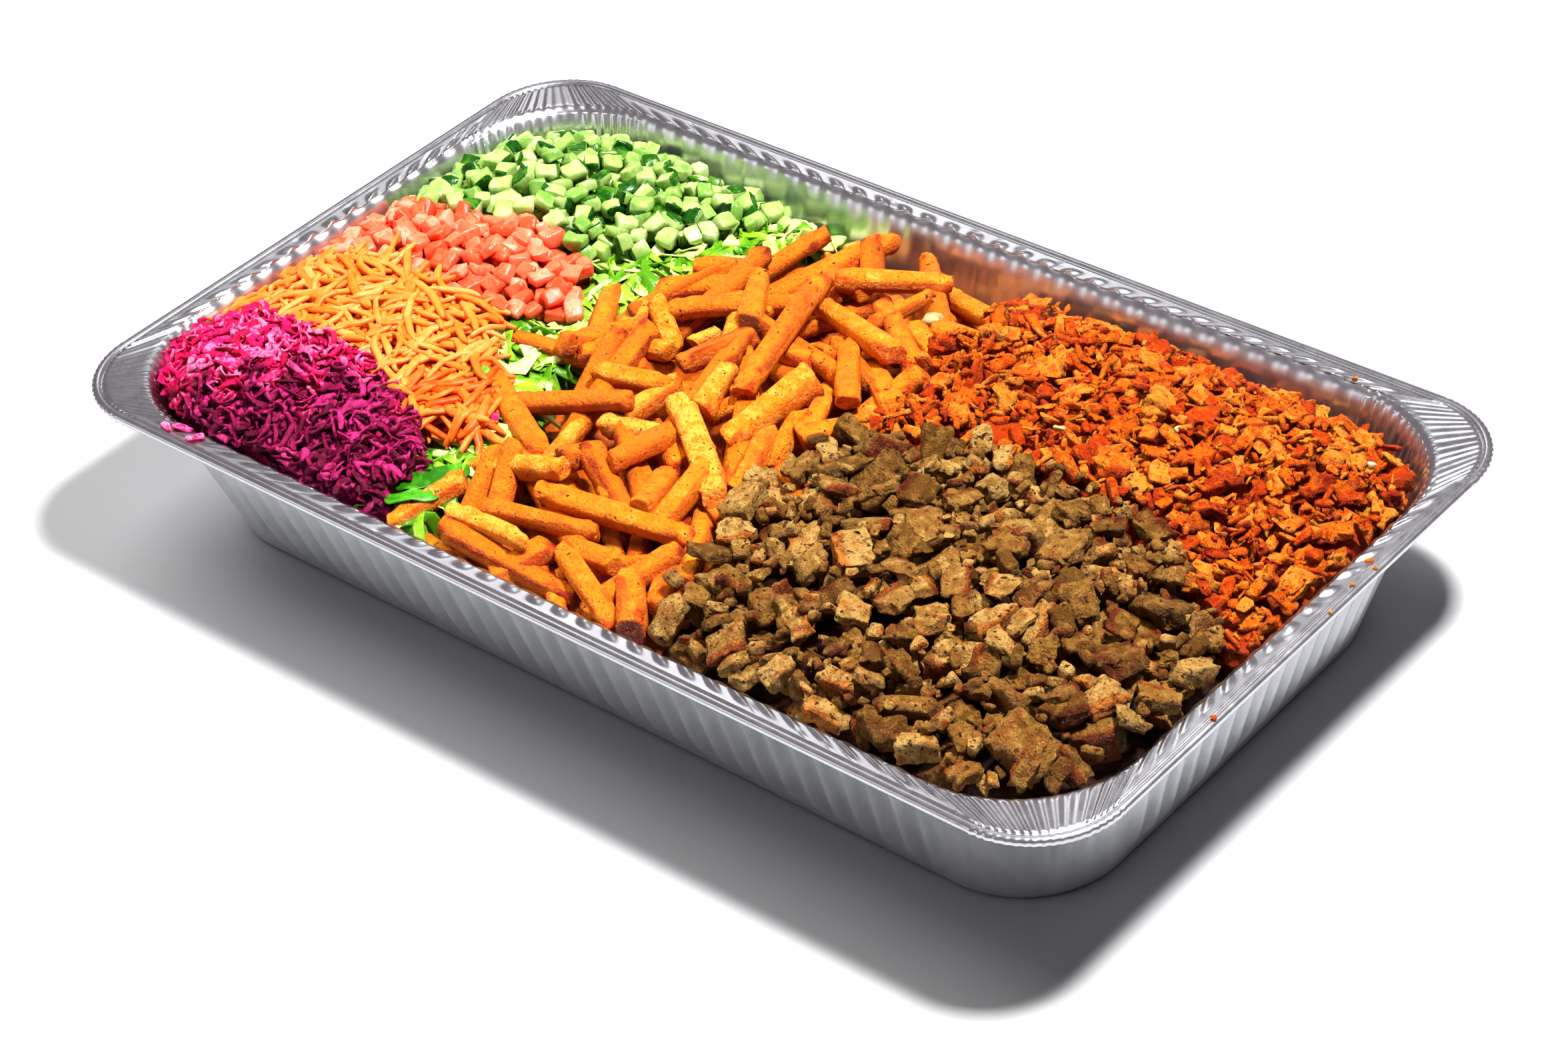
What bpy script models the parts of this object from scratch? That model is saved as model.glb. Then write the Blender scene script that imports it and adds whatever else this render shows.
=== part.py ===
# Foil tray meal: a deep fluted foil tray packed with heaps of salad, fries and chopped meats.
# Metres, +Z up. The origin is the middle of the tray's base and +X runs along its long side.
# The salad lies at the -X end, the chopped meats at the +X end, and the fries between them.
import math

import bmesh
import bpy
from mathutils import Vector

# Tray, measured over its rolled rim
RIM_LENGTH = 0.527
RIM_WIDTH = 0.314
RIM_CORNER = 0.040
TRAY_HEIGHT = 0.077

# Mouth of the tray, where the wall meets the flat lip
LIP_WIDTH = 0.013
MOUTH_CORNER = 0.056

# Flat base and the small radius round its edge
BASE_LENGTH = 0.458
BASE_WIDTH = 0.240
BASE_CORNER = 0.044
BASE_EDGE = 0.003

# Sheet, flutes and rolled bead
SHEET = 0.0006
LONG_FLUTES = 32
SHORT_FLUTES = 18
FLUTE_DEPTH = 0.0008
FLUTE_START = 0.009
BEAD_WIDTH = 0.0045
BEAD_DROP = 0.0042
GROOVE_DEPTH = 0.0008
CORNER_STEPS = 7

# Clearances between pieces that touch
GAP = 0.0003
HALF_GAP = GAP / 2
FLUTE_ROOM = FLUTE_DEPTH + GAP

# Level of the food, and how far it falls towards each wall
FOOD_LEVEL = 0.0795
DROP_FRONT = 0.010
DROP_BACK = 0.025
DROP_LEFT = 0.022
DROP_RIGHT = 0.014
DROP_REACH = 0.020
DROP_CORNER = 0.025
FOOD_CEILING = 0.130
FOOD_FLOOR = SHEET + GAP

# Points in plan where the heaps meet, from the salad end to the meat end
OUT = 0.175
CABBAGE_CARROT = [(-0.290, -0.102), (-0.215, -0.074), (-0.155, -0.072), (-0.112, -0.090)]
CARROT_TOMATO = [(-0.290, -0.046), (-0.205, -0.012), (-0.145, -0.014)]
TOMATO_CUCUMBER = [(-0.290, 0.034), (-0.190, 0.054), (-0.138, 0.044)]
CABBAGE_LETTUCE = [(-0.112, -0.090), (-0.095, -0.110), (-0.090, -OUT)]
CARROT_LETTUCE = [(-0.145, -0.014), (-0.108, -0.046), (-0.086, -0.078), (-0.112, -0.090)]
TOMATO_LETTUCE = [(-0.138, 0.044), (-0.116, 0.008), (-0.145, -0.014)]
CUCUMBER_LETTUCE = [(-0.094, OUT), (-0.102, 0.092), (-0.138, 0.044)]
LETTUCE_FRIES = [(-0.062, OUT), (-0.070, 0.100), (-0.108, 0.040), (-0.100, 0.002), (-0.096, -0.036),
                 (-0.072, -0.074), (-0.078, -0.108), (-0.064, -OUT)]
FRIES_CHICKEN = [(0.034, OUT), (0.040, 0.095), (0.036, 0.048), (0.042, 0.000)]
FRIES_MEAT = [(0.042, 0.000), (0.034, -0.052), (0.048, -0.094), (0.058, -OUT)]
CHICKEN_MEAT = [(0.042, 0.000), (0.086, 0.024), (0.140, 0.028), (0.190, 0.018), (0.232, -0.012),
                (0.290, -0.038)]

# Each heap: mound centre, mound reach, mound height, size of a lump, lump height, colour, roughness
HEAPS = {
    "cucumber_heap": ((-0.168, 0.082), (0.060, 0.040), 0.0020, 0.026, 0.0016, (0.56, 0.78, 0.38), 0.30),
    "tomato_heap": ((-0.190, 0.014), (0.050, 0.030), 0.0035, 0.026, 0.0016, (0.90, 0.28, 0.16), 0.28),
    "carrot_heap": ((-0.175, -0.046), (0.055, 0.028), 0.0025, 0.030, 0.0014, (0.98, 0.42, 0.12), 0.45),
    "cabbage_heap": ((-0.185, -0.108), (0.062, 0.034), 0.0060, 0.024, 0.0018, (0.42, 0.02, 0.26), 0.35),
    "lettuce_bed": ((-0.092, 0.000), (0.040, 0.090), -0.0050, 0.022, 0.0016, (0.36, 0.66, 0.12), 0.40),
    "fries_heap": ((-0.018, 0.000), (0.055, 0.095), 0.0070, 0.038, 0.0032, (0.93, 0.42, 0.06), 0.50),
    "chicken_heap": ((0.145, 0.074), (0.080, 0.045), 0.0050, 0.024, 0.0020, (0.83, 0.25, 0.03), 0.60),
    "meat_heap": ((0.135, -0.062), (0.070, 0.050), 0.0110, 0.028, 0.0028, (0.44, 0.28, 0.13), 0.60),
}
GRID_STEP = 0.0115

# Outline in plan of each heap, as joined runs of the meeting lines
REGIONS = {
    "cucumber_heap": [(-0.290, OUT)] + CUCUMBER_LETTUCE + TOMATO_CUCUMBER[::-1][1:],
    "tomato_heap": TOMATO_CUCUMBER + TOMATO_LETTUCE[1:] + CARROT_TOMATO[::-1][1:],
    "carrot_heap": CARROT_TOMATO + CARROT_LETTUCE[1:] + CABBAGE_CARROT[::-1][1:],
    "cabbage_heap": CABBAGE_CARROT + CABBAGE_LETTUCE[1:] + [(-0.290, -OUT)],
    "lettuce_bed": (CUCUMBER_LETTUCE + TOMATO_LETTUCE[1:] + CARROT_LETTUCE[1:] + CABBAGE_LETTUCE[1:]
                    + LETTUCE_FRIES[::-1]),
    "fries_heap": LETTUCE_FRIES + FRIES_MEAT[::-1] + FRIES_CHICKEN[::-1][1:],
    "chicken_heap": FRIES_CHICKEN + CHICKEN_MEAT[1:] + [(0.290, OUT)],
    "meat_heap": CHICKEN_MEAT + [(0.290, -OUT)] + FRIES_MEAT[::-1][:-1],
}


def clear_scene():
    for old in list(bpy.data.objects):
        bpy.data.objects.remove(old, do_unlink=True)


def new_collection(name):
    collection = bpy.data.collections.new(name)
    bpy.context.scene.collection.children.link(collection)
    return collection


def make_material(name, colour, roughness, metallic=0.0):
    material = bpy.data.materials.new(name)
    material.use_nodes = True
    shader = material.node_tree.nodes["Principled BSDF"]
    shader.inputs["Base Color"].default_value = (*colour, 1.0)
    shader.inputs["Roughness"].default_value = roughness
    shader.inputs["Metallic"].default_value = metallic
    return material


def add_object(name, bm, collection, material=None):
    mesh = bpy.data.meshes.new(name)
    bm.to_mesh(mesh)
    bm.free()
    obj = bpy.data.objects.new(name, mesh)
    collection.objects.link(obj)
    if material is not None:
        mesh.materials.append(material)
    return obj


def outline(length, width, corner, flute=0.0):
    """Points round a rectangle with round corners; flute pushes them out and in along the sides."""
    points = []
    half_x = length / 2 - corner
    half_y = width / 2 - corner
    corners = [(half_x, half_y), (-half_x, half_y), (-half_x, -half_y), (half_x, -half_y)]
    for index, centre in enumerate(corners):
        start = index * math.pi / 2
        for step in range(CORNER_STEPS + 1):
            angle = start + step / CORNER_STEPS * math.pi / 2
            points.append((centre[0] + corner * math.cos(angle), centre[1] + corner * math.sin(angle)))
        after = corners[(index + 1) % 4]
        normal = Vector((math.cos(start + math.pi / 2), math.sin(start + math.pi / 2)))
        first = Vector(centre) + normal * corner
        last = Vector(after) + normal * corner
        steps = 2 * (LONG_FLUTES if index % 2 == 0 else SHORT_FLUTES)
        for step in range(1, steps):
            side = 1 if step % 2 else -1
            place = first.lerp(last, step / steps) + normal * flute * side
            points.append((place.x, place.y))
    return points


def loft(rings):
    """A closed solid through rings of equal point counts, with a flat cap on the first and last."""
    bm = bmesh.new()
    rows = [[bm.verts.new((x, y, z)) for x, y in points] for points, z in rings]
    count = len(rows[0])
    for low, high in zip(rows, rows[1:]):
        for i in range(count):
            j = (i + 1) % count
            bm.faces.new((low[i], low[j], high[j], high[i]))
    bm.faces.new(rows[0][::-1])
    bm.faces.new(rows[-1])
    bmesh.ops.recalc_face_normals(bm, faces=bm.faces[:])
    return bm


def wall_outline(z, inset, flute):
    """The wall's outline at a height, straight from the base's edge to the mouth."""
    part = (z - BASE_EDGE) / (TRAY_HEIGHT - BASE_EDGE)
    mouth_length = RIM_LENGTH - 2 * LIP_WIDTH
    mouth_width = RIM_WIDTH - 2 * LIP_WIDTH
    length = BASE_LENGTH + (mouth_length - BASE_LENGTH) * part - 2 * inset
    width = BASE_WIDTH + (mouth_width - BASE_WIDTH) * part - 2 * inset
    corner = BASE_CORNER + (MOUTH_CORNER - BASE_CORNER) * part - inset
    return outline(length, width, corner, flute)


def rim_outline(inset):
    return outline(RIM_LENGTH - 2 * inset, RIM_WIDTH - 2 * inset, RIM_CORNER - inset)


def base_outline(inset):
    return outline(BASE_LENGTH - 2 * inset, BASE_WIDTH - 2 * inset, BASE_CORNER - inset)


def make_tray(collection):
    """The sheet's outer skin from the base up, round the rolled bead, and its inner skin back down."""
    lip_top = TRAY_HEIGHT - GROOVE_DEPTH
    lip_under = lip_top - SHEET
    bead_middle = TRAY_HEIGHT - BEAD_DROP / 2
    rings = [
        (base_outline(BASE_EDGE), 0.0),
        (wall_outline(BASE_EDGE, 0.0, 0.0), BASE_EDGE),
        (wall_outline(FLUTE_START, 0.0, FLUTE_DEPTH), FLUTE_START),
        (wall_outline(lip_under, 0.0, FLUTE_DEPTH), lip_under),
        (rim_outline(BEAD_WIDTH), lip_under),
        (rim_outline(BEAD_WIDTH * 0.55), TRAY_HEIGHT - BEAD_DROP),
        (rim_outline(0.0), bead_middle),
        (rim_outline(BEAD_WIDTH * 0.45), TRAY_HEIGHT),
        (rim_outline(BEAD_WIDTH), lip_top),
        (wall_outline(lip_top, SHEET, FLUTE_DEPTH), lip_top),
        (wall_outline(FLUTE_START, SHEET, FLUTE_DEPTH), FLUTE_START),
        (wall_outline(BASE_EDGE, SHEET, 0.0), BASE_EDGE),
        (base_outline(BASE_EDGE), SHEET),
    ]
    foil = make_material("foil", (0.80, 0.81, 0.82), 0.28, 1.0)
    return add_object("tray", loft(rings), collection, foil)


def make_cavity(collection):
    """The room inside the tray that the food may fill, carried on above the rim."""
    inset = SHEET + FLUTE_ROOM
    rings = [
        (base_outline(BASE_EDGE + inset), FOOD_FLOOR),
        (wall_outline(BASE_EDGE * 2, inset, 0.0), BASE_EDGE * 2),
        (wall_outline(TRAY_HEIGHT, inset, 0.0), TRAY_HEIGHT),
        (wall_outline(TRAY_HEIGHT, inset, 0.0), FOOD_CEILING),
    ]
    cavity = add_object("cavity", loft(rings), collection)
    bm = bmesh.new()
    bm.from_mesh(cavity.data)
    straight = math.radians(1.0)
    bmesh.ops.dissolve_limit(bm, angle_limit=straight, verts=bm.verts[:], edges=bm.edges[:])
    bm.to_mesh(cavity.data)
    bm.free()
    return as_cutter(cavity)


def as_cutter(obj):
    obj.hide_render = True
    obj.display_type = "WIRE"
    return obj


def shrink(points, distance):
    """The outline moved in by a distance, each corner where its two moved sides cross."""
    area = sum(a[0] * b[1] - b[0] * a[1] for a, b in zip(points, points[1:] + points[:1]))
    turn = 1 if area > 0 else -1
    moved = []
    for i, point in enumerate(points):
        here = Vector(point)
        back = (here - Vector(points[i - 1])).normalized()
        on = (Vector(points[(i + 1) % len(points)]) - here).normalized()
        normal_back = Vector((-back.y, back.x)) * turn
        normal_on = Vector((-on.y, on.x)) * turn
        bisector = (normal_back + normal_on).normalized()
        moved.append(here + bisector * distance / max(bisector.dot(normal_on), 0.2))
    return moved


def make_prism(name, collection):
    bm = bmesh.new()
    base = bm.faces.new([bm.verts.new((p.x, p.y, -GAP)) for p in shrink(REGIONS[name], HALF_GAP)])
    grown = bmesh.ops.extrude_face_region(bm, geom=[base])["geom"]
    top = [v for v in grown if isinstance(v, bmesh.types.BMVert)]
    bmesh.ops.translate(bm, verts=top, vec=(0, 0, FOOD_CEILING + 2 * GAP))
    bmesh.ops.recalc_face_normals(bm, faces=bm.faces[:])
    return as_cutter(add_object(name + "_outline", bm, collection))


def food_height(x, y, name):
    """The level of the food less its fall to each wall and the salad corner, plus its mound and lumps."""
    centre, reach, rise, lump, lump_rise = HEAPS[name][:5]
    mouth_x = RIM_LENGTH / 2 - LIP_WIDTH
    mouth_y = RIM_WIDTH / 2 - LIP_WIDTH
    falls = [
        (DROP_LEFT, mouth_x + x),
        (DROP_RIGHT, mouth_x - x),
        (DROP_FRONT, mouth_y + y),
        (DROP_BACK, mouth_y - y),
        (DROP_CORNER, math.hypot(mouth_x + x, mouth_y - y)),
    ]
    height = FOOD_LEVEL - sum(drop * math.exp(-max(away, 0.0) / DROP_REACH) for drop, away in falls)
    far = ((x - centre[0]) / reach[0]) ** 2 + ((y - centre[1]) / reach[1]) ** 2
    height += rise * math.exp(-far)
    turn = 2 * math.pi / lump
    lumps = math.sin(turn * (x + 0.3 * y) + centre[0] * 900) + math.sin(turn * (0.9 * y - 0.4 * x) + 1.3)
    lumps += 0.7 * math.sin(turn * 0.55 * (x - y) + centre[1] * 700)
    return height + lump_rise * lumps / 2


def make_heap(name, collection, cutters, cavity):
    """A block with an uneven top, cut by the heap's outline in plan and by the room in the tray."""
    mouth_x = RIM_LENGTH / 2 - LIP_WIDTH / 2
    mouth_y = RIM_WIDTH / 2 - LIP_WIDTH / 2
    xs = [min(max(x, -mouth_x), mouth_x) for x, y in REGIONS[name]]
    ys = [min(max(y, -mouth_y), mouth_y) for x, y in REGIONS[name]]
    size_x = max(xs) - min(xs) + GRID_STEP
    size_y = max(ys) - min(ys) + GRID_STEP
    middle = Vector(((max(xs) + min(xs)) / 2, (max(ys) + min(ys)) / 2, 0.0))
    steps_x = round(size_x / GRID_STEP)
    steps_y = round(size_y / GRID_STEP)
    bm = bmesh.new()
    bmesh.ops.create_grid(bm, x_segments=steps_x, y_segments=steps_y, size=0.5)
    bmesh.ops.scale(bm, vec=(size_x, size_y, 1.0), verts=bm.verts[:])
    bmesh.ops.translate(bm, vec=middle, verts=bm.verts[:])
    for vert in bm.verts:
        vert.co.z = food_height(vert.co.x, vert.co.y, name)
    rim = [edge for edge in bm.edges if edge.is_boundary]
    grown = bmesh.ops.extrude_edge_only(bm, edges=rim)["geom"]
    for vert in grown:
        if isinstance(vert, bmesh.types.BMVert):
            vert.co.z = -2 * GAP
    bmesh.ops.contextual_create(bm, geom=[e for e in grown if isinstance(e, bmesh.types.BMEdge)])
    bmesh.ops.triangulate(bm, faces=[face for face in bm.faces if len(face.verts) == 4])
    bmesh.ops.recalc_face_normals(bm, faces=bm.faces[:])
    colour, roughness = HEAPS[name][5:]
    heap = add_object(name, bm, collection, make_material(name, colour, roughness))
    for cutter in (make_prism(name, cutters), cavity):
        cut = heap.modifiers.new("inside_" + cutter.name, "BOOLEAN")
        cut.operation = "INTERSECT"
        cut.solver = "EXACT"
        cut.object = cutter
    return heap


def main():
    clear_scene()
    meal = new_collection("foil_tray_meal")
    cutters = new_collection("cutters")
    make_tray(meal)
    cavity = make_cavity(cutters)
    for name in HEAPS:
        make_heap(name, meal, cutters, cavity)


main()
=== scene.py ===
import math

import bpy
import numpy as np
from mathutils import Matrix, Quaternion, Vector
from mathutils.bvhtree import BVHTree


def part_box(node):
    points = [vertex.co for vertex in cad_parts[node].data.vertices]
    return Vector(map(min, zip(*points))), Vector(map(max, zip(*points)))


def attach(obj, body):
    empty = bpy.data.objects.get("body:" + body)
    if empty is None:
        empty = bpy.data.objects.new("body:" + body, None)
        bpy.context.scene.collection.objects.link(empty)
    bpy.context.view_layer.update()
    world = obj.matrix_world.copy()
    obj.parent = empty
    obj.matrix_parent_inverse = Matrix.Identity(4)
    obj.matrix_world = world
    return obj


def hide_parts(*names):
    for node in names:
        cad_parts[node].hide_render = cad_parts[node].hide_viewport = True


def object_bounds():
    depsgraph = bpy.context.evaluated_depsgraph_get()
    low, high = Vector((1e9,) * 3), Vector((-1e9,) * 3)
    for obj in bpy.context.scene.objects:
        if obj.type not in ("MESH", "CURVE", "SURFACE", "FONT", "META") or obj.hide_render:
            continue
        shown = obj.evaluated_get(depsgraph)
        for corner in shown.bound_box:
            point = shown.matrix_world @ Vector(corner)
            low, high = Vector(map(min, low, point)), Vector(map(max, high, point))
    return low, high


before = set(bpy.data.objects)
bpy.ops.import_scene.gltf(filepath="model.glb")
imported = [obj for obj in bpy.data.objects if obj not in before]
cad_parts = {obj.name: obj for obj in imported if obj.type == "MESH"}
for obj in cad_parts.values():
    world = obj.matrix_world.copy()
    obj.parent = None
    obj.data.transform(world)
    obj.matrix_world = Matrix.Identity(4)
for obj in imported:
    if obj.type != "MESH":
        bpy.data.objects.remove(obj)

# Foil tray meal. Everything is in metres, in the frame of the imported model:
# +X runs along the tray's long side towards the chopped meats, +Z is up, the base stands on z = 0.
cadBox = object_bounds()

# The photograph's view, found from the tray's rim, lip and base outlines
photoView = {
    "azimuth": 43.20,          # degrees, how far the camera stands round from the front side
    "elevation": 37.15,        # degrees above the floor
    "distance": 1.6356,
    "roll": -5.66,
    "target": (-0.0135, 0.0173, 0.0),
    "focalPixels": 5783.0,
    "frameWidth": 2352,
    "frameHeight": 1568,
    "sensorWidth": 36.0,       # millimetres
}

studio = {
    "floorSize": 6.0,
    "floorColour": "#BFBFC0",
    "skyColour": (1.0, 0.88, 0.93),
    "skyStrength": 0.02,               # what it gives the floor and the food
    "skyMirrored": 0.27,               # what the foil and the gloss see of it
    "gamma": 0.86,                     # the photograph is graded with more contrast than a plain view
    # each lamp: where it stands, its width and height, its turn in degrees, its power, if matte things
    # get its light, and if gloss mirrors it; all look at the tray
    "lamps": {
        "key": ((0.47, 0.24, 1.55), (0.20, 0.20), 0.0, 52.0, True, True),
        "over": ((-0.98, 0.05, 1.30), (1.30, 1.30), 0.0, 31.0, True, False),
        "panel": ((-1.14, 1.19, 1.30), (0.80, 0.34), 20.0, 2.0, True, True),
        "front": ((-1.00, -1.35, 0.80), (0.80, 0.80), 0.0, 2.4, False, True),
        "fill": ((-0.80, -1.50, 0.70), (1.00, 1.00), 0.0, 3.5, True, False),
    },
}


def linearColour(text):
    # a hex colour turned into linear light: ((c + 0.055) / 1.055) to the power 2.4
    values = [int(text[i:i + 2], 16) / 255 for i in (1, 3, 5)]
    return tuple(v / 12.92 if v <= 0.04045 else ((v + 0.055) / 1.055) ** 2.4 for v in values) + (1.0,)


def cameraAxes():
    # spherical angles to a unit vector back to the camera, then right and up turned by the roll
    azimuth, elevation, roll = (math.radians(photoView[k]) for k in ("azimuth", "elevation", "roll"))
    back = np.array([math.sin(azimuth) * math.cos(elevation), -math.cos(azimuth) * math.cos(elevation),
                     math.sin(elevation)])
    level = np.array([math.cos(azimuth), math.sin(azimuth), 0.0])
    upright = np.cross(back, level)
    right = level * math.cos(roll) + upright * math.sin(roll)
    up = upright * math.cos(roll) - level * math.sin(roll)
    place = np.array(photoView["target"]) + back * photoView["distance"]
    return place, right, up, back


def pixelToPoint(pixelX, pixelY, height):
    # the line from the camera through a pixel of the photograph, cut at a height above the floor
    place, right, up, back = cameraAxes()
    across = (pixelX - photoView["frameWidth"] / 2) / photoView["focalPixels"]
    upward = (photoView["frameHeight"] / 2 - pixelY) / photoView["focalPixels"]
    ray = right * across + up * upward - back
    return place + ray * (height - place[2]) / ray[2]


def addStudio():
    scene = bpy.context.scene
    scene.view_settings.view_transform = "Standard"
    scene.view_settings.gamma = studio["gamma"]
    place, right, up, back = cameraAxes()
    camera = bpy.data.objects.new("camera", bpy.data.cameras.new("camera"))
    scene.collection.objects.link(camera)
    camera.matrix_world = Matrix([[right[i], up[i], back[i], place[i]] for i in range(3)] + [[0, 0, 0, 1]])
    camera.data.sensor_fit = "HORIZONTAL"
    camera.data.sensor_width = photoView["sensorWidth"]
    camera.data.lens = photoView["focalPixels"] / photoView["frameWidth"] * photoView["sensorWidth"]
    camera.data.clip_end = 20.0
    scene.camera = camera
    for name, (stand, size, turn, power, matte, mirrored) in studio["lamps"].items():
        lamp = bpy.data.objects.new(name + "Lamp", bpy.data.lights.new(name + "Lamp", "AREA"))
        scene.collection.objects.link(lamp)
        lamp.location = stand
        lamp.data.shape = "RECTANGLE"
        lamp.data.size, lamp.data.size_y = size
        lamp.data.energy = power
        lamp.visible_diffuse = matte
        lamp.visible_glossy = mirrored
        facing = (-Vector(stand)).to_track_quat("-Z", "Y")
        lamp.rotation_euler = (facing @ Quaternion((0, 0, 1), math.radians(turn))).to_euler()
    world = bpy.data.worlds.new("softSky")
    world.use_nodes = True
    sky = world.node_tree.nodes["Background"]
    sky.inputs["Color"].default_value = (*studio["skyColour"], 1.0)
    mirrored = put(world.node_tree, "ShaderNodeLightPath").outputs["Is Glossy Ray"]
    strength = fade(world.node_tree, mirrored, 0.0, 1.0, studio["skyStrength"], studio["skyMirrored"])
    world.node_tree.links.new(strength, sky.inputs["Strength"])
    scene.world = world


# Node helpers

def put(tree, kind, inputs=None, **settings):
    new = tree.nodes.new(kind)
    for key, value in settings.items():
        setattr(new, key, value)
    for key, value in (inputs or {}).items():
        feed(tree, new.inputs[key], value)
    return new


def feed(tree, socket, value):
    # a socket takes either a link from another one or a value of its own
    if isinstance(value, bpy.types.NodeSocket):
        tree.links.new(value, socket)
    else:
        socket.default_value = value


def blend(tree, factor, first, second):
    return put(tree, "ShaderNodeMix", {0: factor, 6: first, 7: second}, data_type="RGBA").outputs[2]


def sums(tree, operation, first, second):
    return put(tree, "ShaderNodeMath", {0: first, 1: second}, operation=operation).outputs[0]


def fade(tree, value, low, high, toLow=0.0, toHigh=1.0):
    inputs = {"Value": value, "From Min": low, "From Max": high, "To Min": toLow, "To Max": toHigh}
    return put(tree, "ShaderNodeMapRange", inputs, interpolation_type="SMOOTHSTEP").outputs[0]


def noise(tree, place, scale, detail=3.0, roughness=0.55):
    inputs = {"Vector": place, "Scale": scale, "Detail": detail, "Roughness": roughness}
    return put(tree, "ShaderNodeTexNoise", inputs).outputs["Fac"]


def objectPlace(tree):
    return put(tree, "ShaderNodeTexCoord").outputs["Object"]


def attribute(tree, name):
    return put(tree, "ShaderNodeAttribute", attribute_name=name).outputs["Fac"]


def makeGroup(name, inputs, outputs):
    group = bpy.data.node_groups.new(name, "ShaderNodeTree")
    for label, kind in inputs:
        group.interface.new_socket(label, in_out="INPUT", socket_type="NodeSocket" + kind)
    for label, kind in outputs:
        group.interface.new_socket(label, in_out="OUTPUT", socket_type="NodeSocket" + kind)
    return group, put(group, "NodeGroupInput").outputs, put(group, "NodeGroupOutput").inputs


def unevenGroup():
    # three colours mixed by a coarse noise, a fine noise and the piece's own tint
    inputs = [("Dark", "Color"), ("Middle", "Color"), ("Light", "Color"), ("Size", "Float"),
              ("Spread", "Float")]
    tree, into, out = makeGroup("unevenColour", inputs, [("Colour", "Color"), ("Height", "Float")])
    place = objectPlace(tree)
    coarse = noise(tree, place, into["Size"], 2.0)
    fine = noise(tree, place, sums(tree, "MULTIPLY", into["Size"], 4.5), 4.0, 0.65)
    tint = sums(tree, "MULTIPLY", sums(tree, "SUBTRACT", attribute(tree, "tint"), 0.5), into["Spread"])
    mixed = sums(tree, "ADD", sums(tree, "MULTIPLY", coarse, 0.6), sums(tree, "MULTIPLY", fine, 0.4))
    mixed = sums(tree, "ADD", mixed, tint)
    low = blend(tree, fade(tree, mixed, 0.34, 0.50), into["Dark"], into["Middle"])
    tree.links.new(blend(tree, fade(tree, mixed, 0.52, 0.68), low, into["Light"]), out["Colour"])
    tree.links.new(fine, out["Height"])
    return tree


def speckGroup():
    # spots where a fine noise rises over a limit, painted over the colour
    inputs = [("Colour", "Color"), ("Speck", "Color"), ("Size", "Float"), ("Limit", "Float")]
    tree, into, out = makeGroup("specks", inputs, [("Colour", "Color")])
    spots = noise(tree, objectPlace(tree), into["Size"], 2.0, 0.4)
    mask = fade(tree, sums(tree, "SUBTRACT", spots, into["Limit"]), 0.0, 0.05)
    tree.links.new(blend(tree, mask, into["Colour"], into["Speck"]), out["Colour"])
    return tree


groups = {"uneven": unevenGroup(), "specks": speckGroup()}


def foodMaterial(name, look):
    # uneven flesh, a second uneven colour where the mark is high, specks on both, and a fine grain with
    # painted shade in its hollows
    material, tree, shader = newMaterial(name)
    parts = []
    for key in ("flesh", "crust"):
        if key in look:
            dark, middle, light = (linearColour(text) for text in look[key])
            parts.append(useGroup(tree, "uneven", {"Dark": dark, "Middle": middle, "Light": light,
                                                   "Size": look["size"], "Spread": look["spread"]}))
    colour, height = parts[0]["Colour"], parts[0]["Height"]
    # the second colour goes where the mark is high: real crust or skin, and on some foods painted shade
    if len(parts) == 2:
        colour = blend(tree, fade(tree, attribute(tree, "mark"), *look["edge"]), colour, parts[1]["Colour"])
    if "burn" in look:
        burn = fade(tree, attribute(tree, "burn"), 0.35, 1.0)
        colour = blend(tree, burn, colour, linearColour(look["burn"]))
    if "speck" in look:
        text, limit = look["speck"]
        colour = useGroup(tree, "specks", {"Colour": colour, "Speck": linearColour(text), "Size": 400.0,
                                           "Limit": limit})["Colour"]
    # the grain's low spots, which the bump sinks, get the darker colour: painted shade in the hollows
    if "grain" in look:
        grain = noise(tree, objectPlace(tree), look["grain"], 3.0, 0.6)
        colour = blend(tree, fade(tree, grain, 0.30, 0.44), linearColour(look["hollowShade"]), colour)
        height = sums(tree, "ADD", height, grain)
    finishMaterial(tree, shader, colour, look["roughness"], height, look["bump"], look.get("bumpSize", 0.001),
                   Specular_IOR_Level=look.get("shine", 0.4), Subsurface_Weight=look.get("glow", 0.1),
                   Subsurface_Scale=0.003, Subsurface_Radius=look.get("glowColour", (1.0, 0.5, 0.2)))
    return material


def useGroup(tree, name, inputs):
    return put(tree, "ShaderNodeGroup", inputs, node_tree=groups[name]).outputs


def newMaterial(name):
    material = bpy.data.materials.new(name)
    material.use_nodes = True
    tree = material.node_tree
    return material, tree, tree.nodes["Principled BSDF"]


def finishMaterial(tree, shader, colour, roughness, height=None, bump=0.3, bumpSize=0.001, **fixed):
    feed(tree, shader.inputs["Base Color"], colour)
    feed(tree, shader.inputs["Roughness"], roughness)
    if height is not None:
        bumped = put(tree, "ShaderNodeBump", {"Height": height, "Strength": bump, "Distance": bumpSize})
        tree.links.new(bumped.outputs["Normal"], shader.inputs["Normal"])
    for key, value in fixed.items():
        shader.inputs[key.replace("_", " ")].default_value = value


# Geometry helpers

def waveNoise(points, size, seed, waves=9):
    # the sum of sine waves of about the given size that run in random directions, about -1 to 1
    rng = np.random.default_rng(seed)
    ways = rng.normal(size=(waves, points.shape[-1]))
    ways /= np.linalg.norm(ways, axis=1, keepdims=True)
    ways *= 2 * math.pi / (size * rng.uniform(0.7, 1.5, (waves, 1)))
    starts = rng.uniform(0, 2 * math.pi, waves)
    total = np.zeros(points.shape[:-1])
    for way, start in zip(ways, starts):
        total += np.sin(points @ way + start)
    return total / math.sqrt(waves * 1.6)


def smoothStep(values, low, high):
    part = np.clip((values - low) / (high - low), 0.0, 1.0)
    return part * part * (3 - 2 * part)


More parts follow.
